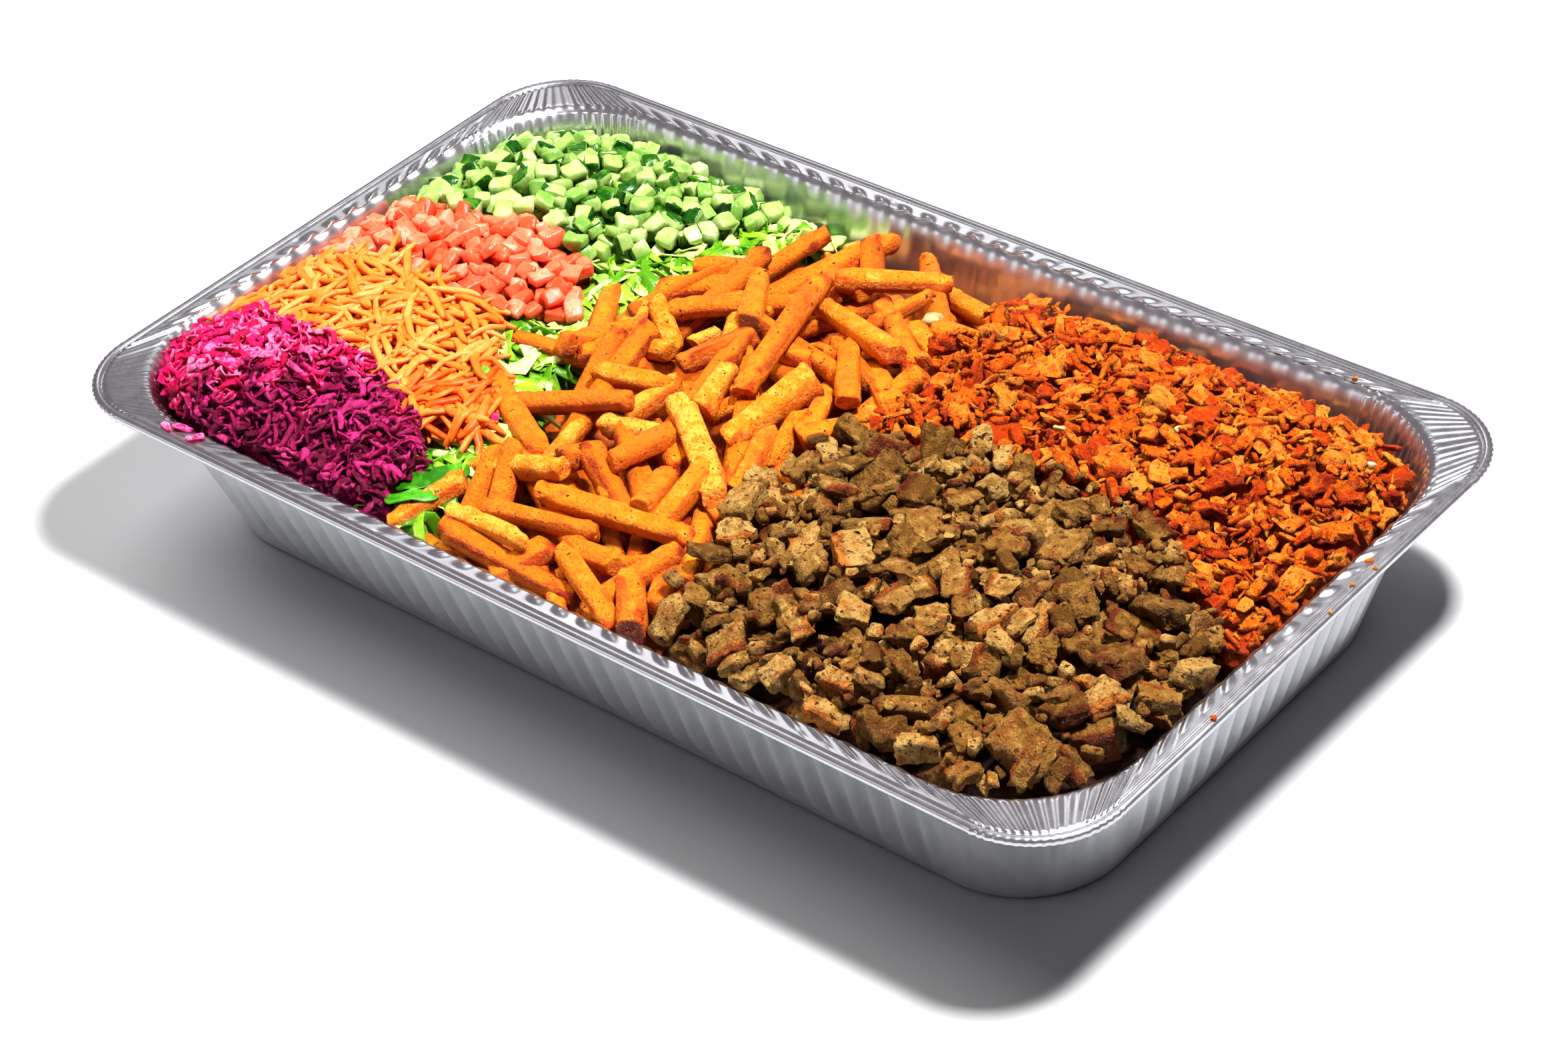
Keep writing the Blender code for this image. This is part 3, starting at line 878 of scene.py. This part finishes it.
def chunkBodies(shell, sizes, seed, shape):
    # a cube rounded to a superellipsoid, flattened against random planes, with lumps pushed out and in
    rng = np.random.default_rng(seed)
    unit = shell[0]
    powers = rng.uniform(*shape["powers"], (len(sizes), 1, 1))
    length = (np.abs(unit)[None] ** powers).sum(2, keepdims=True) ** (1 / powers)
    bodies = unit[None] / length
    for _ in range(shape["cuts"]):
        way = rng.normal(size=(len(sizes), 3))
        way /= np.linalg.norm(way, axis=1, keepdims=True)
        reach = np.abs(way).sum(1) * rng.uniform(*shape["cutDepth"], len(sizes))
        over = np.maximum(np.einsum("nvj,nj->nv", bodies, way) - reach[:, None], 0)
        bodies = bodies - over[:, :, None] * way[:, None, :]
    bodies = bodies * sizes[:, None, :] / 2
    shifted = bodies + rng.uniform(-1, 1, (len(sizes), 1, 3))
    away = bodies / np.maximum(np.linalg.norm(bodies, axis=2, keepdims=True), 1e-6)
    for depth, grain in zip(shape["lumps"], shape["lumpSize"]):
        bodies = bodies + away * (depth * waveNoise(shifted, grain, seed + 7))[..., None]
    return bodies


def perPoint(values, shell):
    return np.repeat(np.asarray(values), len(shell[0]))


# Diced vegetables

cucumber = {
    "count": 420, "seed": 11, "edge": (0.0066, 0.0112), "thick": (0.0045, 0.008),
    "skinShare": 0.85, "pack": 0.9,
    "look": {"flesh": ("#7EA84A", "#A4BE6C", "#BED092"), "crust": ("#082C06", "#1E580C", "#52861C"),
             "edge": (0.40, 0.60), "size": 140.0, "spread": 0.25, "roughness": 0.22, "bump": 0.25,
             "glow": 0.3, "glowColour": (0.8, 1.0, 0.3)},
}
tomato = {
    "count": 420, "seed": 12, "edge": (0.0062, 0.0115), "thick": (0.004, 0.008),
    "skinShare": 0.0, "pack": 0.84,
    "look": {"flesh": ("#EE5A34", "#F27A56", "#F49C7E"), "size": 150.0, "spread": 0.35, "roughness": 0.2,
             "bump": 0.3, "glow": 0.4, "glowColour": (1.0, 0.45, 0.25)},
}
diceShell = boxShell(4)
diceShape = {"powers": (4.0, 9.0), "cuts": 3, "cutDepth": (0.55, 0.95), "lumps": (0.0005, 0.0003),
             "lumpSize": (0.008, 0.003)}


def diceSize(settings):
    def size(rng):
        length, width = rng.uniform(*settings["edge"]), rng.uniform(*settings["edge"]) * 0.92
        return length, width, rng.uniform(*settings["thick"])
    return size


def makeDice(name, settings):
    laid = scatter(name, settings["count"], diceSize(settings), settings["seed"], pack=settings["pack"])
    centres, turns, sizes = laidArrays(laid)
    bodies = chunkBodies(diceShell, sizes, settings["seed"], diceShape)
    rng = np.random.default_rng(settings["seed"] + 1)
    face = rng.integers(0, 3, len(laid))
    side = rng.choice([-1.0, 1.0], len(laid))
    hasSkin = rng.random(len(laid)) < settings["skinShare"]
    face = face[:, None, None].repeat(bodies.shape[1], 1)
    facing = np.take_along_axis(bodies / (sizes[:, None, :] / 2), face, 2)
    mark = smoothStep(facing[..., 0] * side[:, None], 0.62, 0.85) * hasSkin[:, None]
    points, quads, tris = joinShells(diceShell, bodies, turns, centres)
    slotName = heaps[name]["slot"]
    material = foodMaterial(slotName + "Flesh", settings["look"])
    makePiece(slotName + "Dice", points, quads, tris, material, name,
              {"tint": perPoint(rng.random(len(laid)), diceShell), "mark": mark.ravel()})


# Shreds

carrot = {
    "count": 560, "seed": 21, "length": (0.016, 0.040), "width": (0.0028, 0.0046), "thick": (0.0018, 0.0028),
    "bend": 0.5, "over": 0.004, "rings": 11, "sides": 6, "twist": 0.5, "wave": 0.0,
    "look": {"flesh": ("#F07820", "#F48C3A", "#F49E58"), "crust": ("#DC5410", "#EC7220", "#F68E38"),
             "edge": (0.3, 0.8), "size": 90.0, "spread": 0.35, "roughness": 0.4,
             "bump": 0.3, "glow": 0.3},
}
cabbage = {
    "count": 1350, "seed": 22, "length": (0.006, 0.018), "width": (0.0018, 0.0052), "thick": (0.0009, 0.0015),
    "bend": 1.2, "over": 0.006, "rings": 7, "sides": 5, "twist": 1.6, "wave": 0.0008,
    "look": {"flesh": ("#CA024A", "#F61272", "#FF8EB8"), "crust": ("#5C0228", "#96044C", "#CC3080"),
             "edge": (0.3, 0.8), "size": 420.0, "spread": 0.35, "roughness": 0.2, "bump": 0.7, "glow": 0.1,
             "glowColour": (1.0, 0.2, 0.5)},
}
lettuce = {
    "count": 170, "seed": 23, "length": (0.016, 0.045), "width": (0.003, 0.009), "thick": (0.0006, 0.0011),
    "bend": 1.0, "over": 0.006, "rings": 15, "sides": 8, "twist": 1.2, "wave": 0.0012,
    "look": {"flesh": ("#56920F", "#92BE2C", "#D2DC92"), "size": 80.0, "spread": 0.6, "roughness": 0.32,
             "bump": 0.4, "glow": 0.12, "glowColour": (0.6, 1.0, 0.2)},
}


def strewShreds(name, settings):
    # each shred is an arc in plan that sags over what lies below it; its own height raises the level
    rng = np.random.default_rng(settings["seed"])
    index = heapNames.index(name)
    part = np.linspace(-1, 1, settings["rings"])
    paths, facts = [], []
    for _ in range(settings["count"] * 2):
        if len(paths) == settings["count"]:
            break
        length = rng.uniform(*settings["length"])
        width, thick = rng.uniform(*settings["width"]), rng.uniform(*settings["thick"])
        x, y, _ = findPlace(rng, index, thick, 8)
        yaw = rng.uniform(0, 2 * math.pi)
        bend = rng.normal() * settings["bend"]
        angle = yaw + bend * part + 0.3 * rng.normal() * part ** 2
        run = np.cumsum(np.stack([np.cos(angle), np.sin(angle)], 1), 0) * length / len(part)
        plan = run - run.mean(0) + (x, y)
        ground = lookUp(level, plan[:, 0], plan[:, 1])
        padded = np.pad(ground, 2, "edge")
        drape = np.maximum.reduce([padded[:-4], padded[1:-3], padded[2:-2], padded[3:-1], padded[4:]])
        drape = np.convolve(np.pad(drape, 2, "edge"), [0.15, 0.2, 0.3, 0.2, 0.15], "valid")
        drape = drape + thick * 0.4 + 0.0012 * rng.normal() * part ** 2
        tops = lookUp(smoothTop, plan[:, 0], plan[:, 1])
        if (drape - tops).max() > settings["over"]:
            continue
        if wallRoom(plan[:, 0], plan[:, 1], drape).min() < 0.0015:
            continue
        i = ((plan[:, 0] - mapX[0]) / mapStep + 0.5).astype(int)
        j = ((plan[:, 1] - mapY[0]) / mapStep + 0.5).astype(int)
        for di, dj in ((0, 0), (1, 0), (0, 1)):
            level[i + di, j + dj] = np.maximum(level[i + di, j + dj], drape + thick * 0.35)
        paths.append(np.column_stack([plan, drape]))
        facts.append((width, thick, rng.random(), rng.uniform(-1, 1), rng.normal()))
    print("strewed", len(paths), "shreds on", name)
    return np.array(paths), np.array(facts)


def shredBodies(shell, paths, facts, twist, wave):
    # the shell's rings are carried along each path, turned by the path's direction and a slow twist
    along = np.clip((shell[0][:, 0] + 1) / 2 * (paths.shape[1] - 1), 0, paths.shape[1] - 1.001)
    low = along.astype(int)
    part = (along - low)[None, :, None]
    centre = paths[:, low] * (1 - part) + paths[:, low + 1] * part
    ahead = np.gradient(paths, axis=1)
    ahead /= np.linalg.norm(ahead, axis=2, keepdims=True)
    forward = ahead[:, low] * (1 - part) + ahead[:, low + 1] * part
    forward /= np.linalg.norm(forward, axis=2, keepdims=True)
    side = np.cross([0, 0, 1.0], forward)
    side /= np.maximum(np.linalg.norm(side, axis=2, keepdims=True), 1e-6)
    up = np.cross(forward, side)
    roll = (facts[:, 3] * twist)[:, None] * shell[0][None, :, 0] + (facts[:, 4] * twist * 0.5)[:, None]
    taper = 1 - 0.45 * np.abs(shell[0][None, :, 0]) ** 3
    across = shell[0][None, :, 1] * facts[:, 0:1] / 2 * taper
    upward = shell[0][None, :, 2] * facts[:, 1:2] / 2
    upward = upward + wave * np.sin(shell[0][None, :, 0] * 9 + facts[:, 3:4] * 6) * shell[0][None, :, 1]
    turned = across * np.cos(roll) - upward * np.sin(roll)
    lifted = across * np.sin(roll) + upward * np.cos(roll)
    return centre + side * turned[..., None] + up * lifted[..., None]


def makeShreds(name, settings):
    shell = tubeShell(settings["rings"], settings["sides"], 5.0, 2.8)
    paths, facts = strewShreds(name, settings)
    points = shredBodies(shell, paths, facts, settings["twist"], settings["wave"]).reshape(-1, 3)
    step = (np.arange(len(paths)) * len(shell[0]))[:, None, None]
    slotName = heaps[name]["slot"]
    # the mark is painted shade, darker towards the front right where less light falls, plus random patches of
    # the second colour
    shadeAndPatches = smoothStep(points[:, 0] - points[:, 1], -0.12, -0.02) + 0.3 * waveNoise(points, 0.02, 81)
    makePiece(slotName + "Shreds", points, (shell[1] + step).reshape(-1, 4), (shell[2] + step).reshape(-1, 3),
              foodMaterial(slotName + "Leaf", settings["look"]), name,
              {"tint": perPoint(facts[:, 2], shell), "mark": shadeAndPatches})


# Fries. The ends of those that show are pixels of the photograph, from the lowest laid to the highest,
# with the width in pixels; each is then rested on what lies under it.

fries = {
    "seed": 41,
    "under": 72,                    # fries laid at random below the ones that show
    "rings": 32,
    "sides": 18,
    "burntFry": (1033, 410, 1236, 400, 34),     # its right end is burnt
    "metresPerPixel": 0.92 / 3540.0,            # a pixel's size at the food, less 8 per cent
    "lumps": ((0.00045, 0.012, 3), (0.00040, 0.0050, 4), (0.00030, 0.0028, 6)),     # depth, size and seed
    "lowestTop": -0.011,            # how far over the heap's top the first and the last may stand
    "highestTop": 0.003,
    "look": {"flesh": ("#EC7C0C", "#F89210", "#FFBA48"), "crust": ("#9E2C02", "#D65404", "#EE7408"),
             "hollowShade": "#CA5A06", "edge": (0.15, 0.85), "burn": "#6E260A", "size": 200.0, "spread": 0.35,
             "roughness": 0.31, "bump": 1.0, "grain": 600.0, "bumpSize": 0.0015,
             "speck": ("#6A2808", 0.68), "glow": 0.08, "shine": 0.55},
}
friesSeen = [
    (674, 787, 685, 812, 24), (628, 811, 674, 832, 28), (813, 867, 832, 908, 30), (824, 830, 811, 866, 26),
    (910, 868, 916, 935, 24), (965, 806, 956, 850, 36), (950, 735, 940, 768, 28), (913, 800, 928, 838, 30),
    (915, 870, 913, 930, 24), (941, 545, 966, 556, 28), (1219, 503, 1252, 546, 22),
    (1106, 790, 1152, 806, 28), (1168, 429, 1145, 490, 28), (1216, 535, 1250, 556, 28),
    (1230, 384, 1290, 402, 28), (1476, 412, 1521, 430, 34), (1329, 337, 1338, 372, 38),
    (1010, 640, 984, 694, 36), (1091, 829, 1052, 876, 28), (1329, 567, 1360, 603, 30),
    (1365, 528, 1392, 578, 36), (1370, 574, 1380, 624, 36), (1079, 478, 1040, 526, 26),
    (950, 736, 972, 742, 34), (776, 721, 742, 760, 32), (679, 843, 712, 798, 38), (905, 636, 1004, 653, 36),
    (1058, 628, 1112, 606, 32), (956, 700, 973, 738, 36), (1000, 668, 1024, 706, 46),
    (1050, 879, 1018, 926, 38), (874, 636, 816, 702, 30), (1033, 410, 1236, 400, 34),
    (1015, 472, 1114, 450, 36), (928, 460, 986, 495, 42), (951, 537, 966, 558, 28),
    (1022, 575, 938, 622, 38), (1017, 824, 985, 926, 42), (907, 711, 914, 766, 34),
    (1109, 480, 1092, 522, 32), (1224, 478, 1180, 508, 32), (1168, 522, 1217, 546, 36),
    (1239, 410, 1298, 440, 32), (1441, 417, 1500, 449, 40), (1425, 440, 1503, 493, 36),
    (1347, 487, 1347, 544, 36), (1370, 493, 1404, 535, 36), (1242, 588, 1206, 660, 36),
    (1318, 617, 1270, 658, 38), (984, 460, 1013, 516, 36), (987, 434, 1116, 428, 42),
    (933, 503, 1007, 540, 38), (1303, 476, 1402, 455, 24), (1308, 372, 1308, 432, 42),
    (1358, 344, 1358, 412, 44), (1381, 374, 1461, 408, 38), (1409, 489, 1473, 527, 42),
    (1135, 503, 1018, 548, 38), (1149, 759, 1068, 780, 42), (1206, 614, 1152, 706, 34),
    (1158, 638, 1110, 738, 42), (1304, 548, 1340, 615, 44), (578, 788, 695, 724, 36),
    (660, 684, 852, 719, 38), (895, 560, 1004, 581, 36), (736, 501, 930, 552, 36), (771, 600, 953, 608, 38),
    (924, 414, 886, 538, 40), (671, 758, 792, 822, 32), (711, 849, 810, 880, 44), (861, 812, 928, 861, 36),
    (832, 822, 917, 948, 38), (1068, 758, 1028, 877, 38), (1004, 700, 962, 772, 38),
    (1094, 549, 1050, 618, 40), (1010, 648, 916, 694, 38), (1022, 603, 1077, 748, 46),
    (889, 630, 846, 738, 40), (725, 762, 897, 801, 34), (808, 740, 1038, 808, 38), (944, 848, 952, 968, 44),
    (1066, 703, 985, 786, 42), (1200, 684, 1282, 666, 40), (1277, 509, 1269, 607, 40),
    (1140, 409, 1123, 488, 40), (1253, 453, 1429, 405, 38), (1228, 465, 1340, 525, 38),
    (1224, 562, 1090, 662, 48), (1233, 419, 1112, 588, 40), (728, 560, 815, 684, 44),
]


def underFry(rng):
    return rng.uniform(0.045, 0.080), rng.uniform(0.0085, 0.011), rng.uniform(0.008, 0.010)


def layFries():
    laid = scatter("fries_heap", fries["under"], underFry, fries["seed"], over=-0.003, tries=20,
                   steepest=0.35)
    under = len(laid)
    kept = []
    rng = np.random.default_rng(fries["seed"] + 1)
    for order, (x0, y0, x1, y1, wide) in enumerate(friesSeen):
        width = wide * fries["metresPerPixel"]
        thick = width * rng.uniform(0.82, 0.98)
        high = [0.078, 0.078]
        for _ in range(4):
            ends = [pixelToPoint(px, py, z) for (px, py), z in zip(((x0, y0), (x1, y1)), high)]
            run = ends[1] - ends[0]
            middle = (ends[0] + ends[1]) / 2
            yaw = math.atan2(run[1], run[0])
            length = max(float(np.hypot(run[0], run[1])), 0.014)
            rest = settle(middle[0], middle[1], yaw, length, width, thick, 0.4, 0.0012, 0.2)
            if rest is None:
                break
            centre, slope, tilt = rest
            over = np.interp(order, (0, len(friesSeen)), (fries["lowestTop"], fries["highestTop"]))
            centre[2] = min(centre[2], lookUp(smoothTop, middle[0], middle[1]) + over - thick / 2)
            high = [centre[2] - slope * length / 2, centre[2] + slope * length / 2]
        if rest is None:
            print("no room for the fry at", x0, y0)
            continue
        raiseLevel(centre, yaw, slope, tilt, length, width, thick)
        laid.append((centre, yaw, slope, tilt, length, width, thick))
        kept.append((x0, y0, x1, y1, wide))
    print("laid", len(laid), "fries,", under, "of them below")
    return laid, under, under + kept.index(fries["burntFry"])


def fryBodies(shell, sizes, seed):
    # a rounded bar, tapered and bent a little, with slanted ends and a rough crust
    rng = np.random.default_rng(seed)
    unit = shell[0][None]
    n = len(sizes)
    along = unit[..., 0]
    taper = 1 + rng.uniform(-0.16, 0.16, (n, 1)) * along
    taper = taper * (1 - rng.uniform(0.0, 0.16, (n, 1)) * along ** 2)
    x = along * sizes[:, 0:1] / 2
    y = unit[..., 1] * sizes[:, 1:2] / 2 * taper
    z = unit[..., 2] * sizes[:, 2:3] / 2 * taper
    x = x + y * rng.uniform(-0.5, 0.5, (n, 1)) * np.abs(along) ** 6
    x = x + z * rng.uniform(-0.5, 0.5, (n, 1)) * np.abs(along) ** 6
    y = y + sizes[:, 0:1] * rng.normal(0, 0.028, (n, 1)) * (along ** 2 - 0.4)
    z = z - sizes[:, 0:1] * rng.uniform(-0.005, 0.020, (n, 1)) * (along ** 2 - 0.4)
    bodies = np.stack([x, y, z], -1)
    shifted = bodies + rng.uniform(-1, 1, (n, 1, 3))
    away = np.stack([np.zeros_like(y), unit[..., 1] + 0 * y, unit[..., 2] + 0 * y], -1)
    away /= np.maximum(np.linalg.norm(away, axis=2, keepdims=True), 0.3)
    crust = sum(depth * waveNoise(shifted, grain, seed + more) for depth, grain, more in fries["lumps"])
    return bodies + away * crust[..., None]


def makeFries():
    laid, under, burntOne = layFries()
    centres, turns, sizes = laidArrays(laid)
    shell = tubeShell(fries["rings"], fries["sides"], 12.0, 3.3)
    bodies = fryBodies(shell, sizes, fries["seed"])
    rng = np.random.default_rng(fries["seed"] + 5)
    points, quads, tris = joinShells(shell, bodies, turns, centres)
    tint = rng.random(len(laid))
    # the fries laid below get lower tints and so a darker colour: painted shade under the fries on top
    tint[:under] *= 0.3
    unit = shell[0][None]
    patches = waveNoise(bodies + tint[:, None, None], 0.009, 77)
    burnt = np.abs(unit[..., 0]) ** 10 * rng.uniform(0, 1, (len(laid), 1)) ** 3 + patches * 0.06
    burnt[burntOne] += smoothStep(unit[0, :, 0], 0.45, 0.75) * 0.9
    blots = waveNoise(bodies * (0.6, 1, 1) + tint[:, None, None], 0.0045, 78)
    corners = smoothStep(np.abs(unit[..., 1] * unit[..., 2]), 0.25, 0.55)
    # the mark: real crust at the corners, the ends and in blots, and painted shade on the underside, darker
    # where the fry faces down
    crustAndShade = smoothStep(-unit[..., 2], -0.5, 0.5) * 0.45 + np.abs(unit[..., 0]) ** 12 * 0.4 + patches * 0.28
    crustAndShade = crustAndShade + corners * 0.4 + blots * 0.32 + rng.uniform(-0.36, 0.12, (len(laid), 1))
    material = foodMaterial("fryCrust", fries["look"])
    makePiece("friesLoose", points, quads, tris, material, "fries_heap",
              {"tint": perPoint(tint, shell), "mark": crustAndShade.ravel(), "burn": burnt.ravel()})


# Chopped meats

chicken = {
    "count": 260, "seed": 61, "length": (0.008, 0.018), "wide": (0.4, 0.85), "thick": (0.3, 0.6),
    "over": 0.004, "steps": 6, "powers": (3.0, 6.0), "cuts": 6, "cutDepth": (0.40, 0.95),
    "lumps": (0.0014, 0.0014, 0.0010), "lumpSize": (0.007, 0.0034, 0.0024), "crustShare": 0.35,
    "onSide": 0.3, "piece": "chickenChopped",
    "look": {"flesh": ("#D24808", "#F67A10", "#FFAA3E"), "crust": ("#8A1C02", "#CC4A06", "#F67C16"),
             "hollowShade": "#B02C04", "edge": (0.3, 0.9), "size": 300.0, "spread": 0.35, "roughness": 0.36,
             "bump": 1.0, "grain": 420.0, "bumpSize": 0.0022, "speck": ("#861C04", 0.68), "glow": 0.05},
}
chickenBits = dict(chicken, count=1300, seed=63, length=(0.0035, 0.0140), wide=(0.18, 0.7),
                   thick=(0.16, 0.5), steps=3, cuts=3, cutDepth=(0.25, 0.9), lumps=(0.0007, 0.0006, 0.0003),
                   piece="chickenCrumbs")
meat = {
    "count": 320, "seed": 62, "length": (0.011, 0.026), "wide": (0.5, 0.85), "thick": (0.28, 0.48),
    "over": 0.007, "steps": 8, "powers": (4.0, 9.0), "cuts": 4, "cutDepth": (0.45, 0.98),
    "lumps": (0.0006, 0.0008, 0.0007), "lumpSize": (0.009, 0.0042, 0.0026), "crustShare": 0.5,
    "onSide": 0.4, "piece": "meatChopped",
    "look": {"flesh": ("#7A521C", "#A87C38", "#D4AC66"), "crust": ("#5E220A", "#96481A", "#D08434"),
             "hollowShade": "#7A4C1E", "edge": (0.15, 0.85), "size": 230.0, "spread": 0.3, "roughness": 0.38,
             "bump": 1.0, "grain": 450.0, "bumpSize": 0.0022, "speck": ("#5A2A0C", 0.64), "glow": 0.05},
}
meatBits = dict(meat, count=330, seed=64, length=(0.0030, 0.0100), wide=(0.5, 0.9), thick=(0.4, 0.7),
                steps=3, cuts=3, lumps=(0.0006, 0.0005, 0.0002), piece="meatCrumbs")


def makeChunks(name, settings):
    def size(rng):
        length = rng.uniform(*settings["length"])
        wide, thick = length * rng.uniform(*settings["wide"]), length * rng.uniform(*settings["thick"])
        return (length, thick, wide) if rng.random() < settings["onSide"] else (length, wide, thick)

    laid = scatter(name, settings["count"], size, settings["seed"], over=settings["over"])
    centres, turns, sizes = laidArrays(laid)
    shell = boxShell(settings["steps"])
    bodies = chunkBodies(shell, sizes, settings["seed"], settings)
    rng = np.random.default_rng(settings["seed"] + 1)
    crustSide = rng.choice([-1.0, 1.0], (len(laid), 1))
    flatness = bodies[..., 1] / (sizes[:, None, 1] / 2) * crustSide
    mark = smoothStep(flatness, 0.5, 0.9) * (rng.random((len(laid), 1)) < settings["crustShare"])
    shifted = bodies + rng.uniform(-1, 1, (len(laid), 1, 3))
    mark = mark + 0.25 * waveNoise(shifted, 0.008, settings["seed"] + 2)
    # painted shade: the second, browner colour spreads towards the front right corner, where less light falls
    mark = mark + 0.3 * smoothStep(centres[:, 0] - centres[:, 1], 0.0, 0.22)[:, None]
    points, quads, tris = joinShells(shell, bodies, turns, centres)
    material = foodMaterial(settings["piece"], settings["look"])
    makePiece(settings["piece"], points, quads, tris, material, name,
              {"tint": perPoint(rng.random(len(laid)), shell), "mark": mark.ravel()})


# Loose bits. Each spot is a pixel of the photograph with the bit's length, width, thickness and turn.

looseBits = {
    "cabbageBits": {"heap": "cabbage_heap", "look": cabbage["look"], "crinkle": 0.0005, "spots": [
        (417, 445, 0.011, 0.0040, 0.0014, 1.1), (729, 476, 0.008, 0.0034, 0.0013, 0.5),
        (740, 622, 0.009, 0.0036, 0.0013, -0.5), (258, 652, 0.010, 0.0040, 0.0013, 0.1),
        (283, 662, 0.008, 0.0034, 0.0013, 0.8), (246, 641, 0.007, 0.0030, 0.0012, -0.4)]},
    "leafBits": {"heap": "lettuce_bed",
                 "look": dict(lettuce["look"], flesh=("#2A7008", "#4E9E1C", "#96CC54")),
                 "crinkle": 0.0012, "spots": [
        (648, 716, 0.032, 0.011, 0.0010, 1.0), (618, 744, 0.022, 0.008, 0.0010, 0.8),
        (712, 560, 0.013, 0.008, 0.0010, 0.7), (905, 420, 0.013, 0.007, 0.0010, -0.3)]},
    "yellowBit": {"heap": "carrot_heap",
                  "look": dict(carrot["look"], flesh=("#E8A80A", "#F8D024", "#FFE86A")),
                  "crinkle": 0.0006, "spots": [(782, 578, 0.010, 0.006, 0.0018, 0.2)]},
    "paleBits": {"heap": "fries_heap",
                 "look": dict(tomato["look"], flesh=("#A08858", "#BCA87C", "#D4C8A0"), glow=0.1),
                 "crinkle": 0.0004, "spots": [
        (1400, 479, 0.009, 0.0070, 0.004, 0.4), (1589, 643, 0.0050, 0.0022, 0.002, 0.4),
        (1767, 643, 0.0030, 0.0022, 0.002, 1.4), (2059, 697, 0.0034, 0.0024, 0.002, 0.9)]},
    "rimCrumbs": {"heap": "chicken_heap", "look": chicken["look"], "crinkle": 0.0003, "spots": [
        (1831, 1082, 0.0026, 0.0020, 0.0012, 0.2), (2053, 841, 0.0036, 0.0022, 0.0014, 0.7),
        (2029, 876, 0.0020, 0.0016, 0.0010, 0.1), (2062, 852, 0.0020, 0.0014, 0.0010, 0.1),
        (2033, 567, 0.0026, 0.0018, 0.0012, 0.5), (1998, 920, 0.0014, 0.0012, 0.0008, 0.0)]},
}
bitShape = {"powers": (2.6, 4.0), "cuts": 2, "cutDepth": (0.5, 0.9), "lumps": (0.0004, 0.0002),
            "lumpSize": (0.005, 0.002)}


def makeBits(name, settings):
    # small rounded boxes on the line of sight through their pixel, where it meets the food or the lip
    laid = []
    for px, py, length, width, thick, yaw in settings["spots"]:
        height = 0.078
        for _ in range(6):
            place = pixelToPoint(px, py, height)
            overLip = wallRoom(place[0], place[1], trayShape["height"]) < 0.0005
            ground = trayShape["height"] if overLip else lookUp(level, place[0], place[1])
            height = float(ground) + thick / 2 - 0.0003
        edge = np.array(cadBox[1])[:2] - length
        place[:2] = np.clip(place[:2], -edge, edge)
        laid.append((place, yaw, 0.0, 0.0, length, width, thick))
    centres, turns, sizes = laidArrays(laid)
    shell = boxShell(6)
    bodies = chunkBodies(shell, sizes, 95, bitShape)
    plan = bodies * (1, 1, 0) + np.arange(len(laid))[:, None, None]
    bodies[..., 2] += settings["crinkle"] * waveNoise(plan, 0.008, 96)
    points, quads, tris = joinShells(shell, bodies, turns, centres)
    tint = np.linspace(0.3, 0.9, len(laid))
    heap = settings["heap"]
    makePiece(name, points, quads, tris, foodMaterial(name, settings["look"]), heap,
              {"tint": perPoint(tint, shell), "mark": np.zeros(len(points))})


def makeFloor():
    bpy.ops.mesh.primitive_plane_add(size=studio["floorSize"])
    floor = bpy.context.object
    floor.name = "floor"
    material, _, shader = newMaterial("paleFloor")
    shader.inputs["Base Color"].default_value = linearColour(studio["floorColour"])
    shader.inputs["Roughness"].default_value = 0.7
    floor.data.materials.append(material)


addStudio()
makeFloor()
makeTray()

for name in heapNames:
    makeCore(name)

makeShreds("lettuce_bed", lettuce)
makeDice("cucumber_heap", cucumber)
makeDice("tomato_heap", tomato)
makeShreds("carrot_heap", carrot)
makeShreds("cabbage_heap", cabbage)
makeFries()
makeChunks("chicken_heap", chicken)
makeChunks("chicken_heap", chickenBits)
makeChunks("meat_heap", meat)
makeChunks("meat_heap", meatBits)
for name, settings in looseBits.items():
    makeBits(name, settings)
